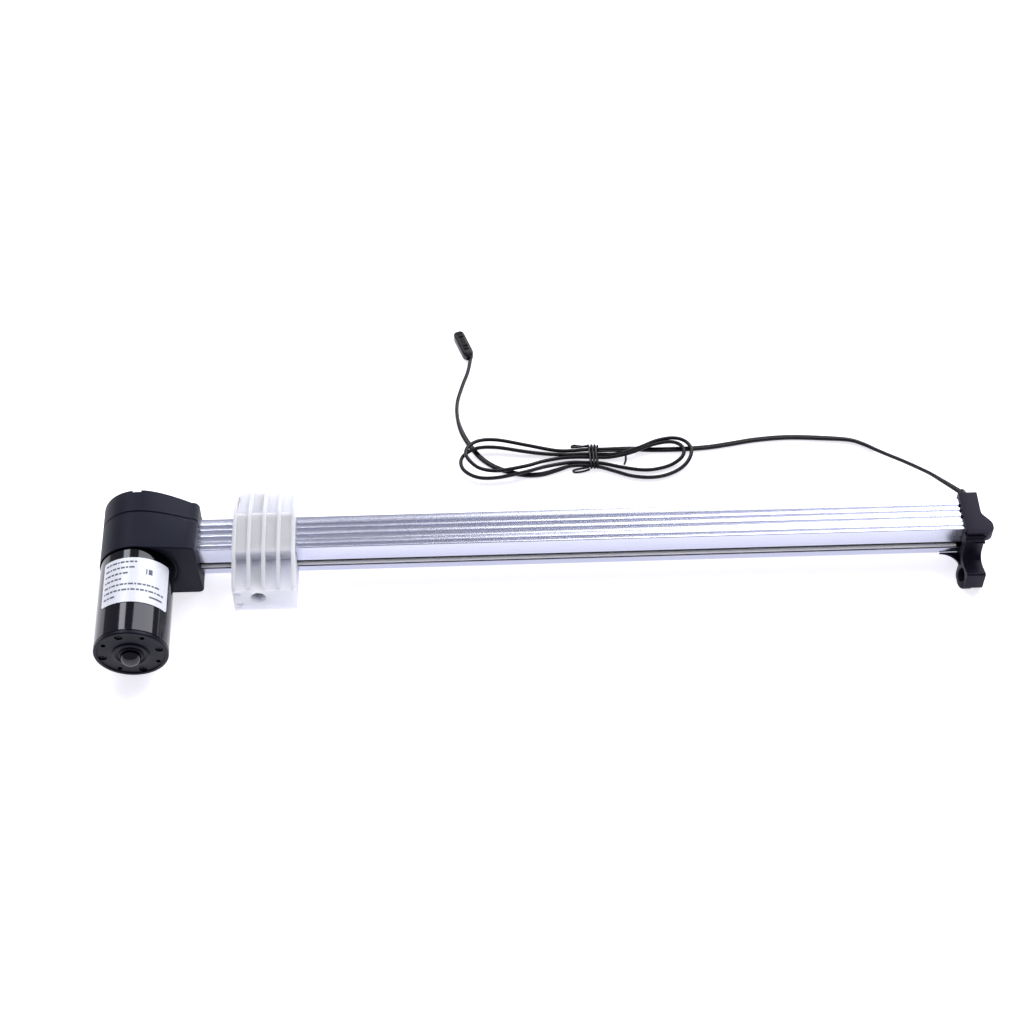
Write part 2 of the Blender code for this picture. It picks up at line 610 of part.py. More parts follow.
nut = box("drive_nut", (22.0, 46.0), (-6.7, 7.7), (-8.7, 3.0), ACETAL)
join(nut, box_tool("nut_tongue", TONGUE_X, (-14.0, -6.0), TONGUE_Z))
cut(nut, rod_tool("nut_bore", "X", SCREW_C, SCREW_R + GAP, 20.0, 48.0))
box("switch_flag", (32.0, 36.0), (-2.0, 2.0), (3.3, 5.4), DARK_STEEL)

# ---------------------------------------------------------------- inside the rail
box("switch_strip", (-10.0, 396.0), (-4.6, 4.6), (7.4, 8.8), BOARD)
box("limit_switch_near", (13.5, 20.5), (-3.0, 3.0), (3.4, 7.1), BLACK_PLASTIC)
box("limit_switch_far", (371.5, 378.5), (-3.0, 3.0), (3.4, 7.1), BLACK_PLASTIC)
tube("inner_lead", [Vector(p) for p in ((-9.0, 6.9, 5.2), (100.0, 7.1, 5.6),
                                        (250.0, 7.1, 5.4), (395.0, 6.9, 5.6))], 0.9, CABLE)

# ---------------------------------------------------------------- end bracket
CAP = [(-13.0, -12.6), (13.1, -12.6), (13.1, 11.9), (12.2, 12.8), (-12.4, 12.8), (-13.0, 12.2)]
NOSE = [(BRACKET_X1 - 2, 2.0), (401.0, 2.0), (401.0, -14.4), (409.4, -14.4), (411.4, -13.4),
        (412.6, -11.6), (COVER_NOSE_X, -9.4), (412.5, -7.2), (411.2, -5.4),
        (BRACKET_X1 + 0.2, -2.2), (BRACKET_X1, 1.2)]
# the arm comes down in front of the cap, hollows out and runs forward into the foot
ARM = [(-12.0, 10.8), (-16.2, 10.8), (-17.0, 10.0), (-17.0, -0.4), (-17.6, -2.0),
       (-19.0, -3.2), (-21.0, -3.5), (-24.0, -3.0), (-27.6, -1.6), (-30.6, -0.2),
       (-31.4, -0.1), (FOOT_FRONT, -0.8), (FOOT_FRONT, TABLE_Z + 2.6), (-31.2, TABLE_Z + 0.9),
       (-29.8, TABLE_Z), (-17.5, TABLE_Z), (-14.0, -12.6), (-12.0, -12.6)]


def flare_loops():
    """The wider left cheek of the foot, fading upward."""
    loops = []
    for z, spread in ((TABLE_Z, 2.0), (TABLE_Z + 4.5, 1.6), (TABLE_Z + 9.0, 0.0)):
        x0 = BRACKET_X0 + 1.2 - spread
        loops.append([(x0 + 1.4, -30.6, z), (402.0, -30.6, z), (402.0, -15.5, z),
                      (x0 + 2.2, -15.5, z), (x0, -21.0, z), (x0, -28.0, z)])
    return loops


lead_hole = (9.6, 401.2)
bracket = flat("end_bracket", "X", CAP, BRACKET_X0 + 1.6, BRACKET_X1, BRACKET_PLASTIC)
join(bracket,
     flat("nose", "Z", NOSE, 6.0, 12.8 - 0.02, home=cutters),
     flat("arm", "X", ARM, BRACKET_X0 + 1.0, BRACKET_X1 - 0.4, home=cutters),
     loft("flare", flare_loops(), home=cutters))
cut(bracket,
    box_tool("rail_pocket", (380.0, RAIL_OUT + GAP), (-RAIL_W / 2 - GAP, RAIL_W / 2 + GAP),
             (-RAIL_H / 2 - GAP, RAIL_H / 2 + GAP)),
    rod_tool("foot_hole", "X", (FOOT_HOLE_Y, FOOT_HOLE_Z), FOOT_HOLE_R, 390.0, 415.0, 32),
    rod_tool("lead_passage", "Y", lead_hole, 1.8, 9.0, 16.0, 16))
rod("lead_grommet", "Y", lead_hole, 1.5, 9.3, 13.4, CABLE, 16)

# ---------------------------------------------------------------- lead, hank, tie and plug
lead_route = [Vector(p) for p in (
    (401.2, 14.6, 9.6), (400.4, 16.6, 9.6), (397.8, 20.2, 8.8), (394.0, 25.4, 5.6),
    (389.6, 32.4, -0.6), (385.6, 39.2, -6.6), (381.0, 45.8, -10.8), (375.0, 53.2, -12.2), (367.0, 61.2, CORD_Z),
    (350.0, 71.2, CORD_Z), (328.0, 74.8, CORD_Z), (302.0, 73.8, CORD_Z), (276.0, 69.6, CORD_Z),
    (HANK_X1 + GAP, 68.2, CORD_Z))]
tube("cord_lead", smooth_route(lead_route, 4.0), CORD_R, CABLE)

hank_r = (HANK_Y1 - HANK_Y0) / 2
hank_y = (HANK_Y0 + HANK_Y1) / 2
hank_outline = arc((HANK_X0 + hank_r, hank_y), hank_r, 90, 270, 12)
hank_outline += arc((HANK_X1 - hank_r, hank_y), hank_r, -90, 90, 12)
hank_low = TABLE_Z + GAP
hank_high = hank_low + HANK_HEIGHT
flat("cord_hank", "Z", hank_outline, hank_low, hank_high, CABLE)
box("twist_tie", (TIE_X - 1.3, TIE_X + 1.3), (HANK_Y0 + 4.0, HANK_Y1 - 4.0),
    (hank_high + GAP, hank_high + 1.8), CABLE)

tail_route = [Vector(p) for p in (
    (142.0, HANK_Y1 + GAP, CORD_Z), (138.6, 86.0, CORD_Z), (136.6, 98.0, CORD_Z),
    (137.6, 110.0, CORD_Z), (141.0, 122.0, CORD_Z), (144.0, 135.8, CORD_Z))]
tube("cord_tail", smooth_route(tail_route, 4.0), CORD_R, CABLE)

PLUG_BASE = Vector((144.2, 137.8, TABLE_Z + 3.2))
PLUG_TURN = radians(19)
PLUG_ALONG = Vector((-sin(PLUG_TURN), cos(PLUG_TURN), 0.0))
PLUG_ACROSS = Vector((cos(PLUG_TURN), sin(PLUG_TURN), 0.0))


def plug_loop(distance, half_w, half_h, offset=0.0, sides=16, fullness=1.25):
    """A cross-section so far along the plug: full corners, or a circle with fullness 1."""
    loop = []
    for k in range(sides):
        angle = 2 * pi * (k + 0.5) / sides
        across = offset + half_w * max(-1.0, min(1.0, fullness * cos(angle)))
        rise = half_h * max(-1.0, min(1.0, fullness * sin(angle)))
        loop.append(PLUG_BASE + PLUG_ALONG * distance + PLUG_ACROSS * across
                    + Vector((0, 0, rise)))
    return loop


def plug_pin_loops(side, radius, start, end):
    return [plug_loop(d, radius, radius, side * 1.3, 10, 1.0) for d in (start, end)]


plug_shape = ((0.0, 1.9, 1.9), (1.8, 2.8, 2.6), (3.8, 3.1, 2.9), (16.8, 3.1, 2.9),
              (18.6, 2.7, 2.7), (19.6, 2.0, 2.1))
plug = loft("plug_body", [plug_loop(*section) for section in plug_shape], CABLE)
for name, side in (("left", -1), ("right", 1)):
    cut(plug, loft(f"socket_{name}", plug_pin_loops(side, 0.95, 9.0, 22.0), home=cutters))
    loft(f"plug_contact_{name}", plug_pin_loops(side, 0.5, 9.4, 18.8), BRASS)
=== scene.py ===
"""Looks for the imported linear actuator: one detailed piece for each visible CAD node.

Lengths are in millimetres in a layout frame until a mesh is made: X runs along the rail from
the gear housing to the end bracket, -Y is the side the motor points to and Z is up.  X = 0 is
the housing face the rail comes out of; Y = 0 and Z = 0 are the middle of the rail.
"""

from math import cos, pi, radians, sin

import bmesh
import bpy
from mathutils import Matrix, Vector


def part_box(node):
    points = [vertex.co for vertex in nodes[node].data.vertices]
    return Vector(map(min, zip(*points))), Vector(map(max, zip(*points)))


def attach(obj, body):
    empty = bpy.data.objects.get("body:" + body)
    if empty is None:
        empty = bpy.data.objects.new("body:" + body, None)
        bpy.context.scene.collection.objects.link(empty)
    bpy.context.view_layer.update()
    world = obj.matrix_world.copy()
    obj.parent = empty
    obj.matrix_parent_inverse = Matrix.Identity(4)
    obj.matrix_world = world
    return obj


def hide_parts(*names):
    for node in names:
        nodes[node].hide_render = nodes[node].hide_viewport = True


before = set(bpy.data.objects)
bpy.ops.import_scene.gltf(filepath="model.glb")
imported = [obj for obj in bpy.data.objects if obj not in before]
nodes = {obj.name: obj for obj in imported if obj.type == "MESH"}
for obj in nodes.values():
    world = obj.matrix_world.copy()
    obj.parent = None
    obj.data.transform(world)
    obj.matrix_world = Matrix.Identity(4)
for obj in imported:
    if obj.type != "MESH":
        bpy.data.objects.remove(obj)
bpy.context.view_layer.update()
MM = 0.001

rail_low, rail_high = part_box("rail")
ORIGIN = Vector((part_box("gear_housing")[1].x, (rail_low.y + rail_high.y) / 2,
                 (rail_low.z + rail_high.z) / 2))


def place(x, y, z):
    """A layout point in the row frame, in metres."""
    return ORIGIN + Vector((x, y, z)) * MM


def layout_box(node):
    """A CAD node's lowest and highest corners in the layout, in millimetres."""
    low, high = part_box(node)
    return (low - ORIGIN) / MM, (high - ORIGIN) / MM


TABLE_Z = layout_box("gear_housing")[0].z
can_low, can_high = layout_box("motor_can")
MOTOR_X = (can_low.x + can_high.x) / 2
MOTOR_Z = (can_low.z + can_high.z) / 2

# ---------------------------------------------------------------- camera
CAMERA_SPOT = (130.0, -676.6, 894.4)
CAMERA_ELEVATION, CAMERA_YAW, CAMERA_ROLL = 52.14, -2.75, 0.57
camera_data = bpy.data.cameras.new("camera")
camera_data.lens = 75.2
camera_data.sensor_width = 36.0
camera_data.clip_end = 20.0
camera = bpy.data.objects.new("camera", camera_data)
bpy.context.scene.collection.objects.link(camera)
camera.matrix_world = (Matrix.Translation(place(*CAMERA_SPOT))
                       @ Matrix.Rotation(radians(CAMERA_YAW), 4, "Z")
                       @ Matrix.Rotation(radians(90 - CAMERA_ELEVATION), 4, "X")
                       @ Matrix.Rotation(radians(CAMERA_ROLL), 4, "Z"))
bpy.context.scene.camera = camera


# ---------------------------------------------------------------- mesh helpers
def add_object(name, mesh, mat, body="frame_body", smooth_angle=35):
    mesh.materials.clear()
    mesh.materials.append(mat)
    if smooth_angle:
        mesh.shade_smooth()
        mesh.set_sharp_from_angle(angle=radians(smooth_angle))
    obj = bpy.data.objects.new(name, mesh)
    bpy.context.scene.collection.objects.link(obj)
    if body:
        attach(obj, body)
    return obj


def stand_in(name, mesh, mat, node, body="frame_body", smooth_angle=35):
    """The detailed piece that takes the place of one CAD node."""
    obj = add_object(name, mesh, mat, body, smooth_angle)
    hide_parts(node)
    return obj


def mesh_from(bm, name):
    bmesh.ops.recalc_face_normals(bm, faces=bm.faces)
    mesh = bpy.data.meshes.new(name)
    bm.to_mesh(mesh)
    bm.free()
    return mesh


def skin_loops(loops, close=True):
    """A bmesh through rings of layout points with equal counts, capped when closed."""
    bm = bmesh.new()
    rings = [[bm.verts.new(place(*p)) for p in loop] for loop in loops]
    for near, far in zip(rings, rings[1:]):
        for i in range(len(near)):
            j = (i + 1) % len(near)
            bm.faces.new((near[i], near[j], far[j], far[i]))
    if close:
        bm.faces.new(rings[0][::-1])
        bm.faces.new(rings[-1])
    return bm


def axis_point(axis, a, b, along):
    """The layout point for a section drawn as (y, z), (z, x) or (x, y) across an axis."""
    return {"X": (along, a, b), "Y": (b, along, a), "Z": (a, b, along)}[axis]


def lathe(axis, centre, profile, segments=96):
    """A closed profile of (radius, along) points turned about an axis; radius 0 is on it."""
    bm = bmesh.new()
    rings = []
    for radius, along in profile:
        if radius == 0:
            rings.append([bm.verts.new(place(*axis_point(axis, *centre, along)))])
            continue
        ring = []
        for k in range(segments):
            angle = 2 * pi * k / segments
            a, b = centre[0] + radius * cos(angle), centre[1] + radius * sin(angle)
            ring.append(bm.verts.new(place(*axis_point(axis, a, b, along))))
        rings.append(ring)
    hollow = profile[0][0] > 0
    pairs = list(zip(rings, rings[1:] + (rings[:1] if hollow else [])))
    for near, far in pairs:
        if len(near) == len(far) == 1:
            continue
        for i in range(segments):
            j = (i + 1) % segments
            corners = [near[i % len(near)], near[j % len(near)],
                       far[j % len(far)], far[i % len(far)]]
            bm.faces.new(list(dict.fromkeys(corners)))
    return bm


def arc(centre, radius, start, end, steps):
    """Points on an arc, from one angle in degrees to another."""
    turns = [radians(start + (end - start) * k / steps) for k in range(steps + 1)]
    return [(centre[0] + radius * cos(t), centre[1] + radius * sin(t)) for t in turns]


CORNER_SHARE = 0.48     # the most of a side's length that one rounded corner may take


def rounded(corners, steps=5):
    """An outline whose corners, given as (a, b, radius), are rounded."""
    points = []
    for k, (a, b, radius) in enumerate(corners):
        here = Vector((a, b))
        to_last = Vector(corners[k - 1][:2]) - here
        to_next = Vector(corners[(k + 1) % len(corners)][:2]) - here
        if radius <= 0:
            points.append((a, b))
            continue
        reach = min(radius, to_last.length * CORNER_SHARE, to_next.length * CORNER_SHARE)
        start, end = here + to_last.normalized() * reach, here + to_next.normalized() * reach
        for i in range(steps + 1):
            t = i / steps
            spot = start * (1 - t) ** 2 + here * (2 * t * (1 - t)) + end * t ** 2
            points.append((spot.x, spot.y))
    return points


def prism(axis, outline, low, high):
    """An outline carried straight along an axis."""
    return skin_loops([[axis_point(axis, a, b, along) for a, b in outline] for along in (low, high)])


def block(x, y, z):
    return prism("X", [(y[0], z[0]), (y[1], z[0]), (y[1], z[1]), (y[0], z[1])], *x)


def drill(axis, centre, radius, low, high, sides=32):
    return prism(axis, arc(centre, radius, 0, 360 - 360 / sides, sides - 1), low, high)


def temporary(bm):
    obj = bpy.data.objects.new("temporary", mesh_from(bm, "temporary"))
    bpy.context.scene.collection.objects.link(obj)
    return obj


WELD_GAP = 0.02         # corners closer than this are one, before edges are rounded
BEVEL_ANGLE = 38        # an edge sharper than this many degrees is rounded


def formed(name, base, joins=(), cuts=(), within=(), edge=0.0, steps=3):
    """The mesh of a base with solids joined, cut or kept within, and sharp edges rounded."""
    obj = temporary(base)
    tools = []
    for operation, solids in (("UNION", joins), ("DIFFERENCE", cuts), ("INTERSECT", within)):
        for bm in solids:
            tool = temporary(bm)
            tools.append(tool)
            step = obj.modifiers.new(operation, "BOOLEAN")
            step.operation = operation
            step.solver = "EXACT"
            step.object = tool
    if edge:
        weld = obj.modifiers.new("weld", "WELD")
        weld.merge_threshold = WELD_GAP * MM
        bevel = obj.modifiers.new("edges", "BEVEL")
        bevel.limit_method = "ANGLE"
        bevel.angle_limit = radians(BEVEL_ANGLE)
        bevel.width = edge * MM
        bevel.segments = steps
        bevel.use_clamp_overlap = True
    bpy.context.view_layer.update()
    mesh = bpy.data.meshes.new_from_object(obj.evaluated_get(bpy.context.evaluated_depsgraph_get()))
    mesh.name = name
    for extra in [obj] + tools:
        bpy.data.objects.remove(extra)
    return mesh


def smooth_route(points, spacing):
    """Points on a Catmull-Rom curve through the given vectors, about spacing apart."""
    ends = [points[0] * 2 - points[1]] + points + [points[-1] * 2 - points[-2]]
    route = []
    for before, near, far, after in zip(ends, ends[1:], ends[2:], ends[3:]):
        steps = max(1, round((far - near).length / spacing))
        for k in range(steps):
            t = k / steps
            route.append(0.5 * (2 * near + (far - before) * t
                                + (2 * before - 5 * near + 4 * far - after) * t * t
                                + (3 * near - before - 3 * far + after) * t ** 3))
    route.append(points[-1])
    return route


def wire(name, points, radius, spacing=0.5, sides=10):
    """The mesh of a round wire through the given layout points."""
    route = smooth_route([Vector(p) for p in points], spacing)
    loops, across = [], Vector((0, 0, 1))
    for k, centre in enumerate(route):
        along = (route[min(k + 1, len(route) - 1)] - route[max(k - 1, 0)]).normalized()
        across = (across - along * across.dot(along)).normalized()
        through = along.cross(across)
        loops.append([centre + (across * cos(2 * pi * s / sides)
                                + through * sin(2 * pi * s / sides)) * radius
                      for s in range(sides)])
    return mesh_from(skin_loops(loops), name)


def take_mesh(bm, mesh):
    """Moves a mesh's faces into a bmesh."""
    bm.from_mesh(mesh)
    bpy.data.meshes.remove(mesh)


# ---------------------------------------------------------------- materials
GLOW_DEPTH = 8.0        # how far light spreads inside the white plastic
MOTTLE_SIZE = 9         # the colour's patches are this many times the grain


def surface(name, color, roughness, metallic=0.0, specular=0.5, vary=0.10, grain=500.0,
            stretch=(1, 1, 1), bump=0.15, depth=0.04, rough_vary=0.06, tint=None,
            glow=0.0):
    """A Principled material with grain: colour, roughness and relief follow two noises.

    grain is in cells per metre, stretch scales it along each axis, depth is in mm and glow
    is the share of light that spreads under the surface, by up to GLOW_DEPTH.
    """
    mat = bpy.data.materials.new(name)
    mat.use_nodes = True
    tree = mat.node_tree
    shader = tree.nodes["Principled BSDF"]
    shader.inputs["Metallic"].default_value = metallic
    shader.inputs["Specular IOR Level"].default_value = specular
    if tint:
        shader.inputs["Specular Tint"].default_value = (*tint, 1)
    if glow:
        shader.inputs["Subsurface Weight"].default_value = glow
        shader.inputs["Subsurface Radius"].default_value = (1.0, 1.0, 1.0)
        shader.inputs["Subsurface Scale"].default_value = GLOW_DEPTH * MM
    coords = tree.nodes.new("ShaderNodeTexCoord")
    mapping = tree.nodes.new("ShaderNodeMapping")
    mapping.inputs["Scale"].default_value = stretch
    tree.links.new(coords.outputs["Object"], mapping.inputs["Vector"])
    fine = tree.nodes.new("ShaderNodeTexNoise")
    fine.inputs["Scale"].default_value = grain
    fine.inputs["Detail"].default_value = 4.0
    broad = tree.nodes.new("ShaderNodeTexNoise")
    broad.inputs["Scale"].default_value = grain / MOTTLE_SIZE
    broad.inputs["Detail"].default_value = 2.0
    for noise in (fine, broad):
        tree.links.new(mapping.outputs["Vector"], noise.inputs["Vector"])
    blend = tree.nodes.new("ShaderNodeMix")
    blend.data_type = "RGBA"
    blend.inputs["A"].default_value = (*[c * (1 - vary) for c in color], 1)
    blend.inputs["B"].default_value = (*[min(1, c * (1 + vary)) for c in color], 1)
    tree.links.new(broad.outputs["Fac"], blend.inputs["Factor"])
    tree.links.new(blend.outputs["Result"], shader.inputs["Base Color"])
    gloss = tree.nodes.new("ShaderNodeMapRange")
    gloss.inputs["From Min"].default_value = 0.3
    gloss.inputs["From Max"].default_value = 0.7
    gloss.inputs["To Min"].default_value = max(0.02, roughness - rough_vary)
    gloss.inputs["To Max"].default_value = min(1.0, roughness + rough_vary)
    tree.links.new(fine.outputs["Fac"], gloss.inputs["Value"])
    tree.links.new(gloss.outputs["Result"], shader.inputs["Roughness"])
    relief = tree.nodes.new("ShaderNodeBump")
    relief.inputs["Strength"].default_value = bump
    relief.inputs["Distance"].default_value = depth * MM
    tree.links.new(fine.outputs["Fac"], relief.inputs["Height"])
    tree.links.new(relief.outputs["Normal"], shader.inputs["Normal"])
    return mat


ALONG_X = (0.01, 1, 1)
FINISHES = {
    "housing_plastic": surface("housing_plastic", (0.0042, 0.0045, 0.0115), 0.55, specular=0.24,
                               grain=2600, bump=0.35, depth=0.05, tint=(0.70, 0.74, 1.0)),
    "bracket_plastic": surface("bracket_plastic", (0.0038, 0.0030, 0.0085), 0.48, specular=0.20,
                               grain=2200, bump=0.25, depth=0.04, tint=(0.76, 0.70, 1.0)),
    "motor_enamel": surface("motor_enamel", (0.0008, 0.0008, 0.0014), 0.09, specular=0.50,
                            grain=300, bump=0.02, depth=0.02, rough_vary=0.02,
                            tint=(0.88, 0.88, 1.0)),
    "end_plate_black": surface("end_plate_black", (0.0022, 0.0022, 0.0050), 0.36, specular=0.22,
                               grain=900, bump=0.12, tint=(0.78, 0.78, 1.0)),
    "rail_aluminium": surface("rail_aluminium", (0.60, 0.62, 0.74), 0.25, 1.0, grain=2400,
                              stretch=ALONG_X, bump=0.03, depth=0.02, vary=0.03,
                              rough_vary=0.03),
    "white_nylon": surface("white_nylon", (0.83, 0.84, 0.90), 0.48, specular=0.4, vary=0.02,
                           grain=900, bump=0.05, glow=1.0),
    "label_film": surface("label_film", (0.88, 0.90, 0.965), 0.30, vary=0.02, grain=400, bump=0.03),
    "bright_steel": surface("bright_steel", (0.56, 0.57, 0.58), 0.28, 1.0, grain=1500),
    "dark_steel": surface("dark_steel", (0.012, 0.012, 0.015), 0.45, 0.6, grain=1500),
    "sintered_bronze": surface("sintered_bronze", (0.45, 0.28, 0.13), 0.5, 1.0, grain=3000),
    "copper": surface("copper", (0.72, 0.30, 0.16), 0.35, 1.0, grain=3000, bump=0.3),
    "carbon": surface("carbon", (0.03, 0.03, 0.03), 0.6, grain=3000),
    "ferrite": surface("ferrite", (0.05, 0.05, 0.055), 0.6, grain=2500, bump=0.3),
    "drive_acetal": surface("drive_acetal", (0.62, 0.63, 0.60), 0.45, grain=800),
    "board_green": surface("board_green", (0.03, 0.13, 0.06), 0.5, grain=1200),
    "cable_pvc": surface("cable_pvc", (0.0045, 0.0042, 0.006), 0.34, specular=0.33, grain=700,
                         bump=0.06),
    "brass": surface("brass", (0.72, 0.52, 0.24), 0.32, 1.0, grain=1500),
}
CABLE = FINISHES["cable_pvc"]
# near black for the rail's inner faces: painted shade, so the inside of the rail reads dark through
# the slot
INSIDE_SHADE = surface("rail_inside_shade", (0.006, 0.006, 0.008), 0.6, specular=0.2, grain=900)
INK = surface("label_ink", (0.10, 0.11, 0.16), 0.5, grain=800)
for node in nodes.values():
    for slot in node.material_slots:
        slot.material = FINISHES[slot.material.name.split(".")[0]]

# ---------------------------------------------------------------- gear housing
cover_low, cover_high = layout_box("gear_cover")
house_low, house_high = layout_box("gear_housing")
HOUSE_LEFT = MOTOR_X - house_low.x
HOUSE_TOP = house_high.z - MOTOR_Z
HOUSE_FRONT, HOUSE_BACK = house_low.y, cover_high.y
PARTING_Y = (house_high.y + cover_low.y) / 2
MOTOR_R = (can_high.x - can_low.x) / 2
MOTOR_C = (MOTOR_Z, MOTOR_X)
screw_low, screw_high = layout_box("leadscrew")
SCREW_C = (0.0, (screw_low.z + screw_high.z) / 2)
wheel_low, wheel_high = layout_box("worm_wheel")
WHEEL_R = (wheel_high.y - wheel_low.y) / 2
RAIL_W, RAIL_H = (rail_high.y - rail_low.y) / MM, (rail_high.z - rail_low.z) / MM


FLARE = 1.3             # how far the face beside the rail leans out at its foot
FLARE_TOP = 4.0         # height at which the lean starts
TOP_CORNER_R = 4.2
FOOT_CORNER_R = 2.5
SLOPE_FROM, SLOPE_TO = -28.0, -3.8      # where the top starts and stops falling to the rail
FRONT_DROP, BACK_DROP = 1.6, 9.6        # its fall at the front, and how much more at the back
BACK_LIFT = 0.9         # how much higher the back stands than the front
FRONT_EDGE_R, BACK_EDGE_R = 0.9, 0.8
JOINT = 0.15            # half the gap at the joint between the halves
JOINT_STEP = 0.3        # how far the halves draw in at the joint
ROUND_STEPS, SLOPE_STEPS, CORNER_STEPS, FOOT_STEPS = 60, 18, 10, 8


def housing_outline(right_drop):
    """Round about the motor and square at the rail, as (x, z) points."""
    points = []
    for k in range(ROUND_STEPS + 1):
        angle = radians(270 - 180 * k / ROUND_STEPS)
        rise = MOTOR_Z - TABLE_Z if sin(angle) < 0 else HOUSE_TOP
        points.append((MOTOR_X + HOUSE_LEFT * cos(angle), MOTOR_Z + rise * sin(angle)))
    start_z = MOTOR_Z + HOUSE_TOP
    for k in range(SLOPE_STEPS + 1):
        t = k / SLOPE_STEPS
        points.append((SLOPE_FROM + (SLOPE_TO - SLOPE_FROM) * t, start_z - right_drop * t ** 1.5))
    corner_z = start_z - right_drop - TOP_CORNER_R * 0.9
    points += arc((-TOP_CORNER_R, corner_z), TOP_CORNER_R, 54, 0, CORNER_STEPS)
    points += [(FLARE * (FLARE_TOP - z) / (FLARE_TOP - TABLE_Z), z)
               for z in (FLARE_TOP, 0.0, -4.0, -8.0)]
    foot_centre = (FLARE - FOOT_CORNER_R, TABLE_Z + FOOT_CORNER_R)
    points += arc(foot_centre, FOOT_CORNER_R, 0, -90, FOOT_STEPS)
    return points


def housing_section(y, inset):
    """The outline at depth y, drawn in by inset and a little higher towards the back."""
    depth = (y - HOUSE_FRONT) / (HOUSE_BACK - HOUSE_FRONT)
    half_x = (HOUSE_LEFT - MOTOR_X) / 2
    half_z = (HOUSE_TOP + MOTOR_Z - TABLE_Z) / 2
    lift = 1 + BACK_LIFT * depth / HOUSE_TOP
    return [(-half_x + (x + half_x) * (1 - inset / half_x), y,
             MOTOR_Z + (z - MOTOR_Z) * (1 - inset / half_z) * (lift if z > MOTOR_Z else 1))
            for x, z in housing_outline(FRONT_DROP + BACK_DROP * depth)]


def rounding(face_y, inward, radius, steps=5):
    """Stations (y, inset) that round the edge of an end face."""
    turns = [radians(90 * k / steps) for k in range(steps + 1)]
    return [(face_y + inward * radius * (1 - cos(t)), radius * (1 - sin(t))) for t in turns]


side_stations = [-12.0, -6.0, 0.0, PARTING_Y - 0.5]
front_stations = rounding(HOUSE_FRONT, 1, FRONT_EDGE_R) + [(y, 0.0) for y in side_stations]
front_stations += [(PARTING_Y - JOINT, JOINT_STEP)]
back_stations = [(PARTING_Y + JOINT, JOINT_STEP), (PARTING_Y + 0.5, 0.0), (11.0, 0.0)]
back_stations += rounding(HOUSE_BACK, -1, BACK_EDGE_R)[::-1]


def rail_room(x_from, x_to, gap):
    """A block round the rail's section with a gap on every side."""
    return block((x_from, x_to), (-RAIL_W / 2 - gap, RAIL_W / 2 + gap),
                 (-RAIL_H / 2 - gap, RAIL_H / 2 + gap))


def gear_cavities():
    """Room for the rear bush, wheel, bearing, screw, rail end, worm and front bush."""
    return [drill("X", SCREW_C, 5.6, screw_low.x - 0.6, -38.0),
            drill("X", SCREW_C, WHEEL_R + 0.8, -37.0, -23.6),
            drill("X", SCREW_C, 8.3, -23.4, -16.4),
            drill("X", SCREW_C, 4.7, -42.0, -10.0),
            rail_room(-12.3, 5.0, 0.3),
            drill("Y", MOTOR_C, 3.5, -13.0, 9.0),
            drill("Y", MOTOR_C, 4.8, 8.4, 15.0)]


def mouth_cut():
    """Sinks the front face round the motor, with a soft edge, to leave an arched lip."""
    face = HOUSE_FRONT
    return lathe("Y", MOTOR_C, [(0, face - 3), (22.6, face - 3), (22.6, face - 0.02),
                                (21.6, face + 0.10), (20.8, face + 0.32), (20.3, face + 0.62),
                                (20.1, face + 1.0), (0, face + 1.0)], 128)


motor_socket = drill("Y", MOTOR_C, MOTOR_R + 0.3, HOUSE_FRONT - 2.0, can_high.y + 0.3, 128)
plain_front = skin_loops([housing_section(*s) for s in front_stations])
housing_mesh = formed("gear_housing_shell", plain_front,
                      cuts=[motor_socket, mouth_cut()] + gear_cavities())
HOUSING = FINISHES["housing_plastic"]
stand_in("gear_housing_shell", housing_mesh, HOUSING, "gear_housing")
notch = block((-33.2, -28.6), (HOUSE_BACK - 1.4, HOUSE_BACK + 1), (MOTOR_Z + 12, MOTOR_Z + 24))
SHANK_HOLE_R, HEAD_HOLE_R, HEAD_SINK = 1.4, 2.9, 1.9
screw_sinks = []
for k in range(4):
    low, high = layout_box(f"housing_screw_{k + 1}")
    spot = ((low.z + high.z) / 2, (low.x + high.x) / 2)
    screw_sinks += [drill("Y", spot, SHANK_HOLE_R, 2.0, 20.0, 16),
                    drill("Y", spot, HEAD_HOLE_R, high.y - HEAD_SINK, 21.0)]
plain_back = skin_loops([housing_section(*s) for s in back_stations])
cover_mesh = formed("gear_cover_shell", plain_back, cuts=gear_cavities() + screw_sinks + [notch])
stand_in("gear_cover_shell", cover_mesh, HOUSING, "gear_cover")

# ---------------------------------------------------------------- motor
CAN_BACK = can_low.y
RING_RISE = 1.0         # how far the end bell's ring stands past its rim
MOTOR_END = layout_box("motor_end_bell")[0].y + RING_RISE
# the profile has extra corners near the ends, so that the long wall stays straight in reflections
can_profile = [(MOTOR_R - 1.5, can_high.y), (MOTOR_R, can_high.y), (MOTOR_R, can_high.y - 1.0),
               (MOTOR_R, CAN_BACK + 0.5), (MOTOR_R, CAN_BACK + 0.25),
               (MOTOR_R - 0.08, CAN_BACK + 0.08), (MOTOR_R - 0.25, CAN_BACK),
               (MOTOR_R - 1.5, CAN_BACK)]
stand_in("motor_can_shell", mesh_from(lathe("Y", MOTOR_C, can_profile, 160), "motor_can_shell"),
         FINISHES["motor_enamel"], "motor_can")

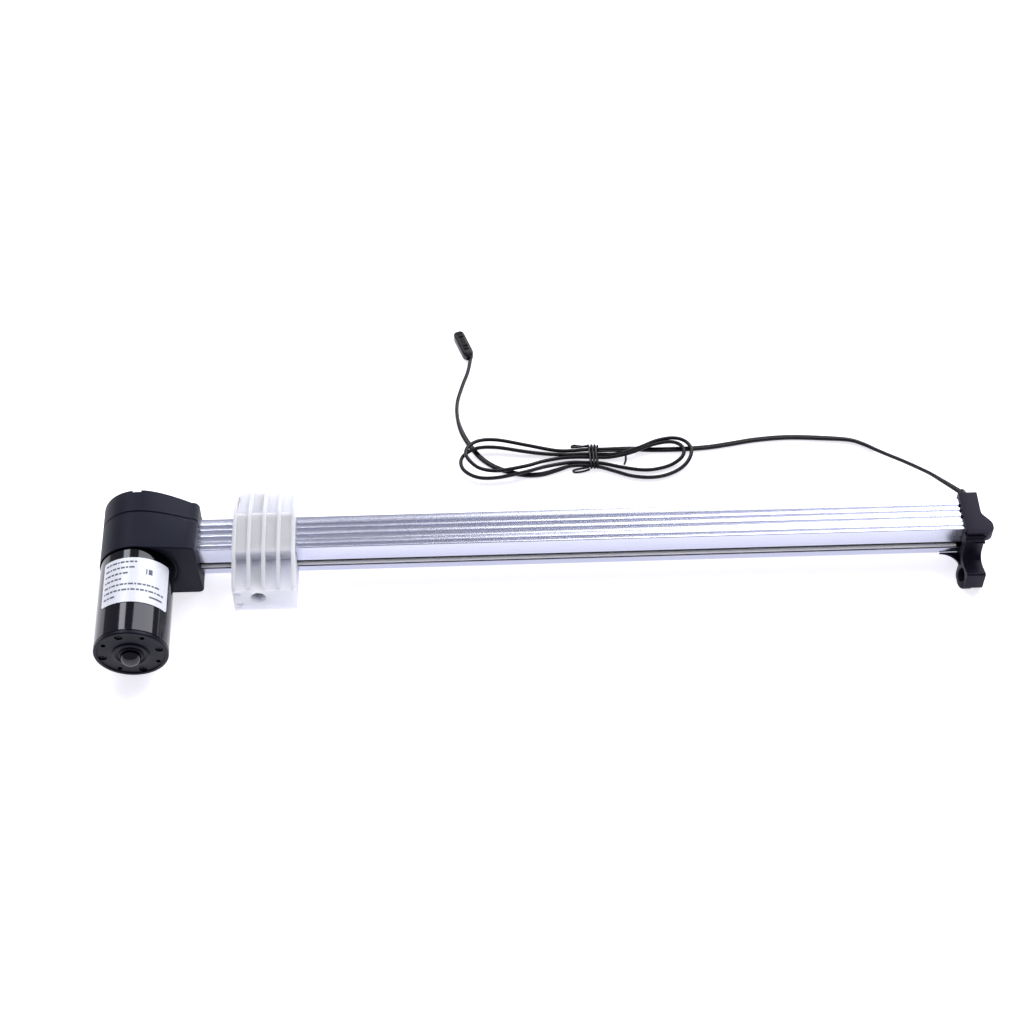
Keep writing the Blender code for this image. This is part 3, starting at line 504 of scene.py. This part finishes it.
bell_front = CAN_BACK - 0.12
bell_profile = [(0, bell_front), (MOTOR_R - 0.25, bell_front), (MOTOR_R, bell_front - 0.2)]
bell_profile += [(MOTOR_R - 0.7 + 0.7 * cos(radians(15 * k)),
                  MOTOR_END + 0.7 - 0.7 * sin(radians(15 * k))) for k in range(7)]
bell_profile += [(MOTOR_R - 1.7, MOTOR_END), (MOTOR_R - 2.0, MOTOR_END + 0.25),
                 (MOTOR_R - 2.1, MOTOR_END + 0.6), (9.9, MOTOR_END + 0.6), (9.5, MOTOR_END + 0.45),
                 (9.2, MOTOR_END - 0.5), (8.8, MOTOR_END - 0.8), (7.6, MOTOR_END - 0.9),
                 (7.2, MOTOR_END - 0.7), (7.0, MOTOR_END - 0.3), (6.3, MOTOR_END - 0.3),
                 (6.1, MOTOR_END - 0.9), (5.8, MOTOR_END - 1.0), (0, MOTOR_END - 1.0)]
BOLT_ANGLES, VENT_ANGLES = (12, 107, 192, 287), (61, 150, 241, 330)
BOLT_HOLE_R, VENT_R, HOLE_CIRCLE_R = 2.05, 1.25, 14.8


def bell_spot(angle):
    """The centre of an end bell hole as (z, x), from its angle in degrees."""
    return (MOTOR_Z + HOLE_CIRCLE_R * sin(radians(angle)),
            MOTOR_X + HOLE_CIRCLE_R * cos(radians(angle)))


bell_cuts = []
for bolt_angle, vent_angle in zip(BOLT_ANGLES, VENT_ANGLES):
    for angle, size in ((bolt_angle, BOLT_HOLE_R), (vent_angle, VENT_R)):
        bell_cuts.append(drill("Y", bell_spot(angle), size, MOTOR_END - 1.5, bell_front + 1, 24))
bell_mesh = formed("motor_end_bell_plate", lathe("Y", MOTOR_C, bell_profile, 128), cuts=bell_cuts)
stand_in("motor_end_bell_plate", bell_mesh, FINISHES["end_plate_black"], "motor_end_bell")

BOLT_SINK = 1.3         # how far a bolt's head lies below the rim
HEAD_R, HEAD_EDGE_R, SHANK_R = 1.7, 1.5, 1.1
CROSS_LONG, CROSS_WIDE, CROSS_DEEP = 1.1, 0.25, 0.5
for k, angle in enumerate(BOLT_ANGLES):
    z, x = bell_spot(angle)
    face = MOTOR_END + BOLT_SINK
    head = lathe("Y", (z, x), [(0, face), (HEAD_EDGE_R, face), (HEAD_R, face + 0.2),
                               (HEAD_R, face + 1.2), (SHANK_R, face + 1.2),
                               (SHANK_R, face + 2.2), (0, face + 2.2)], 24)
    cross = [block((x - a, x + a), (face - 1, face + CROSS_DEEP), (z - b, z + b))
             for a, b in ((CROSS_LONG, CROSS_WIDE), (CROSS_WIDE, CROSS_LONG))]
    bolt = f"end_bell_bolt_{k + 1}"
    stand_in(bolt, formed(bolt, head, cuts=cross), FINISHES["dark_steel"],
             f"end_bell_screw_{k + 1}")

DOME_R, DOME_EXTRA, DOME_STEPS = 5.3, 1.6, 15
dome_low, dome_high = layout_box("end_bell_dome")
dome_rise = dome_high.y - dome_low.y + DOME_EXTRA
dome_profile = [(0, dome_high.y)]
for k in range(DOME_STEPS + 1):
    angle = radians(90 * k / DOME_STEPS)
    radius = DOME_R * cos(angle) ** 0.8 if k < DOME_STEPS else 0
    dome_profile.append((radius, dome_high.y - dome_rise * sin(angle)))
stand_in("end_bell_dome_cap", mesh_from(lathe("Y", MOTOR_C, dome_profile, 64), "end_bell_dome_cap"),
         FINISHES["motor_enamel"], "end_bell_dome")

# ---------------------------------------------------------------- label
LABEL_UNDER, LABEL_R = MOTOR_R + 0.2, MOTOR_R + 0.32
LABEL_FROM, LABEL_TO = -49.0, 65.0      # degrees from +Z towards +X
LABEL_CORNER_R = 1.6
label_low, label_high = layout_box("motor_label")


def on_can(s, y, radius):
    """A point on the can, s mm round from the label's left edge."""
    angle = radians(LABEL_FROM) + s / MOTOR_R
    return (MOTOR_X + radius * sin(angle), y, MOTOR_Z + radius * cos(angle))


def curved_patch(bm, s0, s1, y0, y1, corner, low_r, high_r, step=0.8):
    """A thin closed sheet on the can, with rounded corners."""
    count = max(2, round((s1 - s0) / step))
    stops = [s0 + (s1 - s0) * k / count for k in range(count + 1)]
    if corner:
        for k in range(1, 5):
            along = corner * (1 - cos(radians(18 * k)))
            stops += [s0 + along, s1 - along]
        stops = sorted(set(stops))
    loops = []
    for s in stops:
        edge = min(s - s0, s1 - s)
        trim = corner - (corner ** 2 - (corner - edge) ** 2) ** 0.5 if edge < corner else 0.0
        trim = min(trim, (y1 - y0) / 2 - 0.01)
        loops.append([on_can(s, y0 + trim, low_r), on_can(s, y1 - trim, low_r),
                      on_can(s, y1 - trim, high_r), on_can(s, y0 + trim, high_r)])
    take_mesh(bm, mesh_from(skin_loops(loops), "patch"))


label_span = radians(LABEL_TO - LABEL_FROM) * MOTOR_R
label_bm = bmesh.new()
curved_patch(label_bm, 0, label_span, label_low.y, label_high.y, LABEL_CORNER_R, LABEL_UNDER,
             LABEL_R)
stand_in("motor_label_film", mesh_from(label_bm, "motor_label_film"), FINISHES["label_film"],
         "motor_label", smooth_angle=30)

# plain bars in rows stand for print, with a longer bar at the end and two blocks on the right
WORDS = (1.9, 1.2, 2.6, 0.9, 2.1, 1.5)
ROW_ENDS = (19.0, 16.0, 13.0, 11.0, 29.0, 34.0, 7.0)
MARGIN, FIRST_ROW, ROW_PITCH, WORD_GAP, HALF_BAR = 1.6, 2.6, 3.45, 0.55, 0.5
LAST_BAR = (26.0, 33.6)
MARKS, MARK_TOP, MARK_FOOT = ((23.6, 24.2), (24.9, 26.9)), 6.6, 9.8
ink_bm = bmesh.new()


def print_bar(s0, s1, y0, y1):
    curved_patch(ink_bm, s0, s1, y0, y1, 0, LABEL_R + 0.01, LABEL_R + 0.05)


count = 0
for row, row_end in enumerate(ROW_ENDS):
    y = label_high.y - FIRST_ROW - ROW_PITCH * row
    s = MARGIN
    while s < row_end:
        word = min(WORDS[count % len(WORDS)], label_span - MARGIN - s)
        print_bar(s, s + word, y - HALF_BAR, y + HALF_BAR)
        s += word + WORD_GAP
        count += 1
print_bar(*LAST_BAR, y - HALF_BAR, y + HALF_BAR)
for left, right in MARKS:
    print_bar(left, right, label_high.y - MARK_FOOT, label_high.y - MARK_TOP)
ink = add_object("motor_label_print", mesh_from(ink_bm, "motor_label_print"), INK, smooth_angle=30)

# ---------------------------------------------------------------- rail
SLOT_TOP, SLOT_FOOT = 0.4, -4.9
RAIL_WALL = 1.8
GROOVES = ((-8.0, 0.55), (-5.3, 0.15), (-2.05, 0.55), (2.05, 0.55), (5.3, 0.55))


def groove(y, deep, top):
    """A groove in the rail's top at y, with softened edges."""
    edge = top - 0.12 * deep / 0.55
    return [(y - 0.6, top), (y - 0.35, edge), (y - 0.18, top - deep),
            (y + 0.18, top - deep), (y + 0.35, edge), (y + 0.6, top)]


def rail_outline():
    """The C-section as one loop of (y, z): grooves on top, a slot in the -Y wall."""
    w, h, wall = RAIL_W / 2, RAIL_H / 2, RAIL_WALL
    outer = [(-w, SLOT_TOP)]
    outer += arc((-w + 0.45, h - 0.45), 0.45, 180, 90, 4)
    for y, deep in GROOVES:
        outer += groove(y, deep, h)
    outer += arc((w - 0.6, h - 0.6), 0.6, 90, 0, 4)
    outer += arc((w - 0.8, -h + 0.8), 0.8, 0, -90, 4)
    outer += arc((-w + 3.0, -h + 3.0), 3.0, -90, -180, 6)
    outer += [(-w, SLOT_FOOT - 0.2), (-w + 0.2, SLOT_FOOT)]
    inner = [(-w + wall, SLOT_FOOT), (-w + wall, -h + 3.0), (-w + 3.2, -h + wall),
             (w - wall, -h + wall), (w - wall, h - wall), (-w + wall, h - wall),
             (-w + wall, SLOT_TOP)]
    return outer + inner


RAIL_FROM, RAIL_TO = (corner.x for corner in layout_box("rail"))
rail_bm = prism("X", rail_outline(), RAIL_FROM, RAIL_TO)
rail_obj = stand_in("rail_profile", mesh_from(rail_bm, "rail_profile"),
                    FINISHES["rail_aluminium"], "rail", smooth_angle=32)
# every inner face of the rail is given the painted-shade material
rail_obj.data.materials.append(INSIDE_SHADE)
for face in rail_obj.data.polygons:
    spot = (face.center - ORIGIN) / MM
    inside = abs(spot.y) < RAIL_W / 2 - 0.7 and abs(spot.z) < RAIL_H / 2 - 1.0
    if inside and abs(face.normal.x) < 0.5:
        face.material_index = 1

# a white strip lines the slot: its white is a painted highlight for the slot's lit lip, and the
# rail's painted-shade inside shows as a dark line above and below it
STRIP_FOOT, STRIP_TOP = -3.7, -1.9
STRIP_FRONT, STRIP_BACK = -RAIL_W / 2 - 0.2, -RAIL_W / 2 + 1.2
strip_side = rounded([(STRIP_FRONT, STRIP_FOOT, 0.2), (STRIP_BACK, STRIP_FOOT, 0.2),
                      (STRIP_BACK, STRIP_TOP, 0.2), (STRIP_FRONT, STRIP_TOP - 0.3, 0.3)])
strip = prism("X", strip_side, 0.4, 396.0)
strip_obj = add_object("rail_slot_highlight_strip", mesh_from(strip, "rail_slot_highlight_strip"),
                       FINISHES["white_nylon"])
nut_low, nut_high = layout_box("drive_nut")
nut_mesh = formed("drive_nut_block", block((nut_low.x, nut_high.x), (-6.7, nut_high.y),
                                           (nut_low.z, nut_high.z)),
                  joins=[block((24, 44), (-14, -6), (-1.5, -0.2))],
                  cuts=[drill("X", SCREW_C, 4.3, 20, 48)], edge=0.3)
stand_in("drive_nut_block", nut_mesh, FINISHES["drive_acetal"], "drive_nut",
         body="slider")

# ---------------------------------------------------------------- slider
carriage_low, carriage_high = layout_box("slider_carriage")
X0, X1, HALF = carriage_low.x, carriage_high.x, carriage_high.y
DECK, TOP = 6.0, carriage_high.z
plan = rounded([(X0, -14, 0), (X0 + 0.3, -HALF, 2.2), (X1 - 0.3, -HALF, 2.2), (X1, -14, 0),
                (X1, 12, 6), (X1 - 1.5, HALF - 2.0, 3), (X1 - 4.2, HALF, 2.4), (X1 - 9.0, HALF, 3),
                (X1 - 13.0, HALF - 1.5, 3), (X0 + 12.0, HALF - 1.7, 3), (X0 + 8.6, HALF - 0.3, 3),
                (X0 + 5.0, HALF, 2.4), (X0 + 2.2, HALF - 4.0, 4), (X0, 13, 6)], 6)
body_bm = prism("Z", plan, TABLE_Z, DECK)
saddle = rounded([(-13.8, 3, 0), (12.2, 3, 0), (12.2, 12.9, 1.2), (-13.8, 12.9, 1.6)])
rib_side = rounded([(-32.4, 4, 0), (30.8, 4, 0), (30.8, DECK + 0.7, 0.6), (14.6, TOP - 0.5, 2),
                    (12.0, TOP, 2), (-12.6, TOP, 2), (-15.2, TOP - 0.4, 2),
                    (-32.4, DECK + 0.6, 0.6)])
RIBS, HALF_RIB, RIB_INSET = 5, 0.95, 1.25
ribs = []
for k in range(RIBS):
    middle = X0 + RIB_INSET + (X1 - X0 - 2 * RIB_INSET) * k / (RIBS - 1)
    ribs.append(prism("X", rib_side, middle - HALF_RIB, middle + HALF_RIB))
bush_low, bush_high = layout_box("trunnion_bush_near")
BORE = ((bush_low.z + bush_high.z) / 2, (bush_low.x + bush_high.x) / 2)
BORE_R, BORE_DEPTH = 4.0, 15
RUNNING_GAP = 0.45      # between the slider and the rail, on every side
LEAN, LEAN_TOP = 2.1, -7.0      # the near end leans in below this height
lean = prism("X", [(-HALF - 1, TABLE_Z - 1), (-HALF + LEAN, TABLE_Z - 1), (-HALF, LEAN_TOP),
                   (-HALF - 1, LEAN_TOP)], X0 - 5, X1 + 5)
# the rail's way through, two pin holes, the tongue's slot, the lean and three small moulded marks
slider_cuts = [rail_room(X0 - 5, X1 + 5, RUNNING_GAP),
               drill("Y", BORE, BORE_R, -HALF - 2, -HALF + BORE_DEPTH, 48),
               drill("Y", BORE, BORE_R, HALF - BORE_DEPTH, HALF + 2, 48),
               block((23.7, 44.3), (-14.3, -8.0), (-3.7, 0.1)), lean,
               block((19.6, 23.0), (-HALF - 1, -HALF + 1.6), (-6.0, -4.6)),
               block((20.7, 21.9), (-HALF - 1, -HALF + 1.6), (-10.4, -5.0)),
               block((18.6, 22.2), (-HALF - 1, -HALF + 1.2), (2.2, 4.4))]
slider_mesh = formed("slider_block", body_bm,
                     joins=[prism("X", saddle, X0 + 0.5, X1 - 0.5)] + ribs, cuts=slider_cuts,
                     within=[prism("Z", plan, TABLE_Z - 1, TOP + 1)], edge=0.35)
stand_in("slider_block", slider_mesh, FINISHES["white_nylon"], "slider_carriage",
         body="slider", smooth_angle=40)

# ---------------------------------------------------------------- end bracket
bracket_low, bracket_high = layout_box("end_bracket")
FOOT_FRONT, NOSE_X = bracket_low.y, bracket_high.x
BX0, BX1 = 398.2, 408.0         # the cap's inner and outer faces
FOOT_HOLE, FOOT_HOLE_R = (-25.6, -8.2), 3.6
cap_side = rounded([(-13.0, -12.6, 0.5), (13.1, -12.6, 0.6), (13.1, 12.8, 1.2), (-13.0, 12.8, 1.2)])
nose_plan = rounded([(BX1 - 2, 2.0, 0), (398.7, 2.0, 0), (398.7, -14.4, 1.0), (410.2, -14.4, 2.2),
                     (NOSE_X, -12.4, 2.0), (NOSE_X, -7.6, 2.6), (BX1 + 0.1, -1.6, 1.6),
                     (BX1, 1.2, 0)], 6)
arm_side = rounded([(-12.0, 10.8, 0), (-16.2, 10.8, 0.8), (-17.0, 9.6, 0.8), (-17.2, -0.4, 2.5),
                    (-19.6, -3.4, 2.5), (-24.0, -3.1, 3), (-30.8, -0.2, 1.0),
                    (FOOT_FRONT, -0.8, 0.8), (FOOT_FRONT, TABLE_Z + 2.0, 2.0),
                    (-29.8, TABLE_Z, 2.0), (-17.5, TABLE_Z, 0.8),
                    (-14.0, -12.6, 0.5), (-12.0, -12.6, 0)])
# the arm widens towards the table, on the side that faces the slider
flare = []
for z, spread in ((TABLE_Z, 2.6), (TABLE_Z + 4.5, 1.8), (TABLE_Z + 9.0, 0.0)):
    x0 = BX0 - spread
    flare.append([(x, y, z) for x, y in rounded([(x0 + 1.4, -30.6, 1.5), (402, -30.6, 0),
                                                 (402, -15.5, 0), (x0 + 2.2, -15.5, 0.5),
                                                 (x0, -21.0, 2), (x0, -28.0, 2)])])
gusset = [(399.0, -18.0), (399.0, -10.35), (388.0, -10.35)] + arc((388.0, -20.4), 9.6, 90, 12, 8)
grommet_low, grommet_high = layout_box("lead_grommet")
lead_hole = ((grommet_low.z + grommet_high.z) / 2, (grommet_low.x + grommet_high.x) / 2)
nose = prism("Z", nose_plan, 6.0, 12.75)
arm = prism("X", arm_side, BX0 - 0.4, BX1 - 0.4)
ledges = [block((401, 409.0), (-15.0, -13.4), (8.6, 9.6)),
          block((402, 408.2), (-17.5, -16.0), (7.4, 8.2))]
# three small dark blocks at the ends of the rail's grooves stand for the shadow in the flutes:
# painted shade
flute_shadow_teeth = [block((397.5, 399.0), (y - 0.4, y + 0.4), (10.6, 12.0)) for y in (-2.05, 2.05, 5.3)]
bracket_mesh = formed(
    "end_bracket_moulding", prism("X", cap_side, BX0, BX1),
    joins=[nose, arm, skin_loops(flare)] + ledges + [prism("Z", gusset, -9.8, -8.6)] + flute_shadow_teeth,
    cuts=[rail_room(380, RAIL_TO + 0.3, 0.3), drill("X", FOOT_HOLE, FOOT_HOLE_R, 390, 415, 48),
          drill("Y", lead_hole, 1.9, 9, 16, 24)], edge=0.45)
stand_in("end_bracket_moulding", bracket_mesh, FINISHES["bracket_plastic"], "end_bracket",
         smooth_angle=42)
# the strain relief: a thin stem in the hole, a collar and a taper, as (radius, y)
relief = [(0, grommet_low.y), (1.5, grommet_low.y), (1.5, 13.3), (2.5, 13.3), (2.5, 13.8),
          (2.2, 14.6), (1.8, 15.6), (1.6, 16.2), (0, 16.2)]
stand_in("lead_strain_relief", mesh_from(lathe("Y", lead_hole, relief, 32), "lead_strain_relief"),
         CABLE, "lead_grommet")

# ---------------------------------------------------------------- cords
CORE_R = 1.03           # each of the lead's two cores
CORE_OFFSET = 0.47      # how far each core's middle is from the lead's
CORE_STEPS = 9
LEAD_SPACING = 1.3
TOWARDS_VIEW = Vector((0.0, -cos(radians(CAMERA_ELEVATION)), sin(radians(CAMERA_ELEVATION))))


def lead_section():
    """The twin lead's section as (across, through) points: two round cores side by side."""
    points = []
    waist = 53
    for side in (1, -1):
        for k in range(CORE_STEPS + 1):
            angle = radians(-180 + waist + (360 - 2 * waist) * k / CORE_STEPS)
            points.append((side * (CORE_OFFSET + CORE_R * cos(angle)), side * CORE_R * sin(angle)))
    return points


def lay_lead(name, stops):
    """A twin lead through stops of (x, y, z, flat), and the path of its middle.

    flat 1 lies flat and 0 stands on its edge, turned towards the viewer.
    """
    route = smooth_route([Vector(s) for s in stops], LEAD_SPACING)
    centres = [Vector(s[:3]) for s in route]
    loops, flat_way = [], None
    for k, centre in enumerate(centres):
        along = (centres[min(k + 1, len(centres) - 1)] - centres[max(k - 1, 0)]).normalized()
        sideways = along.cross(Vector((0, 0, 1))).normalized()
        if flat_way is None:
            flat_way = sideways if sideways.y < 0 else -sideways
        flat_way = sideways if sideways.dot(flat_way) > 0 else -sideways
        flat = min(1.0, max(0.0, route[k][3]))
        across = flat_way * flat + TOWARDS_VIEW * (1 - flat)
        across = (across - along * across.dot(along)).normalized()
        through = along.cross(across)
        loops.append([centre + across * u + through * v for u, v in lead_section()])
    obj = add_object(name, mesh_from(skin_loops(loops), name), CABLE)
    return obj, [place(*c) for c in centres]


LOW = TABLE_Z + 1.5             # middle of a lead that stands on its edge on the table
FLAT_LOW = TABLE_Z + 1.05       # middle of a lead that lies flat on it
SEEN_AT = -12.5         # the height at which the hank's plan was drawn
STEP_BACK = 0.818       # how far towards the viewer a point moves for each mm that it rises


def strand(points, flat=0.0):
    """Stops from (x, y, z) points whose y is where they appear to lie at table height."""
    return [(x, y - STEP_BACK * (z - SEEN_AT), z, flat) for x, y, z in points]


EXIT = ((grommet_low.x + grommet_high.x) / 2, grommet_high.y, (grommet_low.z + grommet_high.z) / 2)
lead_in = [(EXIT[0], EXIT[1] - 1.6, EXIT[2], 1.0), (EXIT[0] - 0.4, 15.0, 9.4, 0.9),
           (397.6, 19.6, 8.3, 0.7), (393.0, 26.8, 5.6, 0.4), (388.6, 34.8, 1.8, 0.2),
           (383.0, 43.2, -2.6, 0.1), (377.2, 50.8, -6.4, 0.1), (371.4, 57.4, -9.6, 0.1),
           (365.4, 63.4, -11.8, 0.2), (359.6, 68.0, LOW, 0.3), (352.0, 71.4, LOW, 0.4),
           (338.0, 73.4, -12.8, 0.9), (318.0, 74.8, FLAT_LOW, 1.0),
           (300.0, 73.6, FLAT_LOW, 1.0), (286.0, 71.2, FLAT_LOW, 1.0), (273.0, 69.2, FLAT_LOW, 1.0),
           (258.0, 68.4, FLAT_LOW, 1.0), (242.0, 68.6, FLAT_LOW, 1.0), (230.0, 69.6, -12.8, 0.7)]
loop_a = strand([(214, 69.5, LOW), (206, 69.5, LOW), (198, 69, LOW), (189, 69.6, LOW),
                 (173, 74, -11.2), (158, 78, -9.6), (148, 78, -8.6), (142, 74.4, -7.4),
                 (140, 69.4, -6.8), (142, 64, -7.2), (147.6, 58.4, -8.8), (157, 56.4, -9.6),
                 (172, 59, -10.4), (182, 62, -11.6), (192, 64, LOW)])
loop_c = strand([(201, 64.4, LOW), (210, 64.0, LOW), (219, 63.8, LOW), (230, 66.4, -10.6),
                 (241, 71.2, -9.7), (250, 73.4, -9.6), (256, 72.6, -9.6), (259.4, 68.6, -9.6),
                 (258.4, 62.8, -10.6), (252.4, 57.4, -12.2), (244, 54.6, LOW), (236, 54.2, LOW),
                 (226, 56.2, LOW)])
loop_b = strand([(214, 59.6, LOW), (205, 60.4, LOW), (196, 60.6, LOW), (183, 58.2, -10.8),
                 (172, 55, -10.0), (157, 51.6, -10.4), (146.4, 52, -10.6), (139.4, 56.6, -10.2),
                 (137.2, 62.4, -9.8), (139.2, 68, -9.7), (146.4, 72.6, -9.7), (157, 72.8, -10.2),
                 (172, 69.4, -11.4), (184, 67.2, LOW)])
loop_d = strand([(196, 66.2, LOW), (205, 66.4, LOW), (214, 65.8, LOW), (224, 66.0, -11.4),
                 (235, 70.0, -9.8), (245, 74.6, -9.6), (254, 76.2, -9.6), (260.4, 74, -9.6),
                 (263.6, 68.6, -9.6), (262.4, 61.6, -10.6), (257.4, 54.8, -12.2),
                 (249, 50.2, LOW), (240, 48.8, LOW), (230, 50.2, LOW), (221, 53.8, LOW)])
tail = strand([(213, 57.0, LOW), (205, 58.4, LOW), (197, 58.2, LOW)])
tail += [(189.0, 55.6, -12.8, 0.5), (180.0, 53.2, FLAT_LOW, 1.0), (170.0, 53.6, FLAT_LOW, 1.0),
         (158.0, 58.0, FLAT_LOW, 1.0), (149.5, 64.6, FLAT_LOW, 1.0), (143.4, 73.6, FLAT_LOW, 1.0),
         (138.6, 84.0, -12.8, 0.6), (136.2, 95.0, LOW, 0.0), (136.4, 106.0, LOW, 0.0),
         (139.4, 118.0, LOW, 0.0), (142.8, 128.6, LOW, 0.0), (144.6, 137.4, -11.8, 0.0)]
lead, lead_path = lay_lead("twin_lead", lead_in + loop_a + loop_c + loop_b + loop_d + tail)
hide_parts("cord_lead", "cord_hank", "cord_tail")

tie_low, tie_high = layout_box("twist_tie")
TIE_X, TIE_Y = (tie_low.x + tie_high.x) / 2, (tie_low.y + tie_high.y) / 2
TIE_R = 0.6
TIE_TURNS, TURN_STEPS, TIE_WIDTH = 3, 16, 5.2
HANK_HALF_WIDTH, HANK_HALF_HEIGHT = 8.0, 1.95


def twisted_tie():
    """Turns of thin wire round the hank, two small end loops and a loose end."""
    turns = []
    for k in range(TIE_TURNS * TURN_STEPS + 1):
        angle = 2 * pi * k / TURN_STEPS
        turns.append((TIE_X + TIE_WIDTH * (k / (TIE_TURNS * TURN_STEPS) - 0.5),
                      TIE_Y - 0.1 + HANK_HALF_WIDTH * cos(angle),
                      TABLE_Z + 2.6 + HANK_HALF_HEIGHT * sin(angle)))
    low = TABLE_Z + 0.7
    above = [(TIE_X - 2.4, TIE_Y + 8.0, low + 0.8), (TIE_X - 6.0, TIE_Y + 8.8, low),
             (TIE_X - 10.4, TIE_Y + 9.6, low), (TIE_X - 11.6, TIE_Y + 8.4, low),
             (TIE_X - 8.0, TIE_Y + 7.4, low + 1.2), (TIE_X - 2.8, TIE_Y + 6.6, low + 3.2)]
    below = [(TIE_X - 2.4, TIE_Y - 8.2, low + 0.8), (TIE_X - 6.4, TIE_Y - 9.0, low),
             (TIE_X - 10.8, TIE_Y - 9.4, low), (TIE_X - 11.4, TIE_Y - 8.0, low),
             (TIE_X - 7.4, TIE_Y - 7.4, low + 0.6), (TIE_X - 2.8, TIE_Y - 7.4, low + 1.6)]
    loose = [(TIE_X + 2.6, TIE_Y + 2.0, low + 3.6), (TIE_X + 12.0, TIE_Y + 2.4, low + 3.0),
             (TIE_X + 17.0, TIE_Y + 1.6, low + 2.6), (TIE_X + 17.6, TIE_Y - 1.6, low),
             (TIE_X + 16.6, TIE_Y - 4.6, low)]
    return turns, above, below, loose


tie_bm = bmesh.new()
for points in twisted_tie():
    take_mesh(tie_bm, wire("tie_wire", points, TIE_R))
tie = stand_in("hank_tie", mesh_from(tie_bm, "hank_tie"), CABLE, "twist_tie")

PLUG_BASE = Vector((144.2, 137.8, TABLE_Z + 3.2))
PLUG_TURN = radians(19)
PLUG_ALONG = Vector((-sin(PLUG_TURN), cos(PLUG_TURN), 0.0))
PLUG_ACROSS = Vector((cos(PLUG_TURN), sin(PLUG_TURN), 0.0))


def plug_loop(distance, half_w, half_h, offset=0.0, rise=0.0, sides=32, fullness=1.22):
    """A section so far along the plug: full corners, or a circle with fullness 1."""
    loop = []
    for k in range(sides):
        angle = 2 * pi * (k + 0.5) / sides
        across = offset + half_w * max(-1.0, min(1.0, fullness * cos(angle)))
        up = rise + half_h * max(-1.0, min(1.0, fullness * sin(angle)))
        loop.append(PLUG_BASE + PLUG_ALONG * distance + PLUG_ACROSS * across + Vector((0, 0, up)))
    return loop


# the plug's sections as (distance along, half width, half height)
plug_shape = ((0.0, 1.8, 1.8), (0.5, 2.1, 2.1), (1.8, 2.8, 2.6), (2.8, 3.0, 2.8), (3.8, 3.1, 2.9),
              (16.8, 3.1, 2.9), (18.2, 2.9, 2.8), (19.0, 2.5, 2.5), (19.6, 2.0, 2.1))
panel = [plug_loop(d, w, 0.5, rise=2.9)
         for d, w in ((5.0, 1.4), (5.6, 1.9), (15.0, 1.9), (15.6, 1.4))]
SLOT_LENGTH, CONTACT_HOLE_R, CONTACT_OFFSET = 0.9, 0.95, 1.3
slots = [skin_loops([plug_loop(d, 1.5, 0.6, rise=3.2) for d in (at, at + SLOT_LENGTH)])
         for at in (6.4, 13.6)]
bores = [skin_loops([plug_loop(d, CONTACT_HOLE_R, CONTACT_HOLE_R, side * CONTACT_OFFSET,
                               sides=16, fullness=1.0) for d in (9.0, 22.0)])
         for side in (-1, 1)]
plug_mesh = formed("plug_housing", skin_loops([plug_loop(*s) for s in plug_shape]),
                   joins=[skin_loops(panel)], cuts=slots + bores)
plug = stand_in("plug_housing", plug_mesh, CABLE, "plug_body")

# ---------------------------------------------------------------- stage
def floor_material():
    """White paper: nearly even, with a faint mottle and a little glow of its own."""
    mat = surface("floor_white", (0.90, 0.895, 0.93), 0.7, specular=0.2, vary=0.004, grain=60,
                  bump=0.02, rough_vary=0.02)
    shader = mat.node_tree.nodes["Principled BSDF"]
    shader.inputs["Emission Color"].default_value = (0.97, 0.96, 1.0, 1)
    shader.inputs["Emission Strength"].default_value = 0.70
    return mat


FLOOR_HALF = 4.0        # metres from the floor's middle to each side
FLOOR_GAP = 0.1         # how far the floor lies below the lowest parts
bm = bmesh.new()
bmesh.ops.create_grid(bm, x_segments=1, y_segments=1, size=FLOOR_HALF)
bmesh.ops.translate(bm, verts=bm.verts, vec=(0, 0, place(0, 0, TABLE_Z - FLOOR_GAP).z))
floor = add_object("floor", mesh_from(bm, "floor"), floor_material(), None, None)

world = bpy.data.worlds.new("studio")
bpy.context.scene.world = world
world.use_nodes = True
world.node_tree.nodes["Background"].inputs["Color"].default_value = (0.86, 0.86, 1.0, 1)
world.node_tree.nodes["Background"].inputs["Strength"].default_value = 0.38


LIT = place(MOTOR_X, -45.0, 25.0)      # the middle of the motor's upper side
LIGHT_DISTANCE = 2.5    # metres


def softbox(name, direction, size, power):
    """A rectangular light in a direction from the motor, turned to face it."""
    light = bpy.data.lights.new(name, "AREA")
    light.shape = "RECTANGLE"
    light.size, light.size_y = size
    light.energy = power
    obj = bpy.data.objects.new(name, light)
    bpy.context.scene.collection.objects.link(obj)
    away = Vector(direction).normalized()
    obj.location = LIT + away * LIGHT_DISTANCE
    obj.rotation_euler = (-away).to_track_quat("-Z", "Y").to_euler()
    return obj


softbox("strip", (-0.364, 0.58, 0.727), (0.5, 2.2), 23)
softbox("window", (0.50, 0.58, 0.64), (1.6, 2.2), 46)
bpy.context.scene.view_settings.view_transform = "Standard"
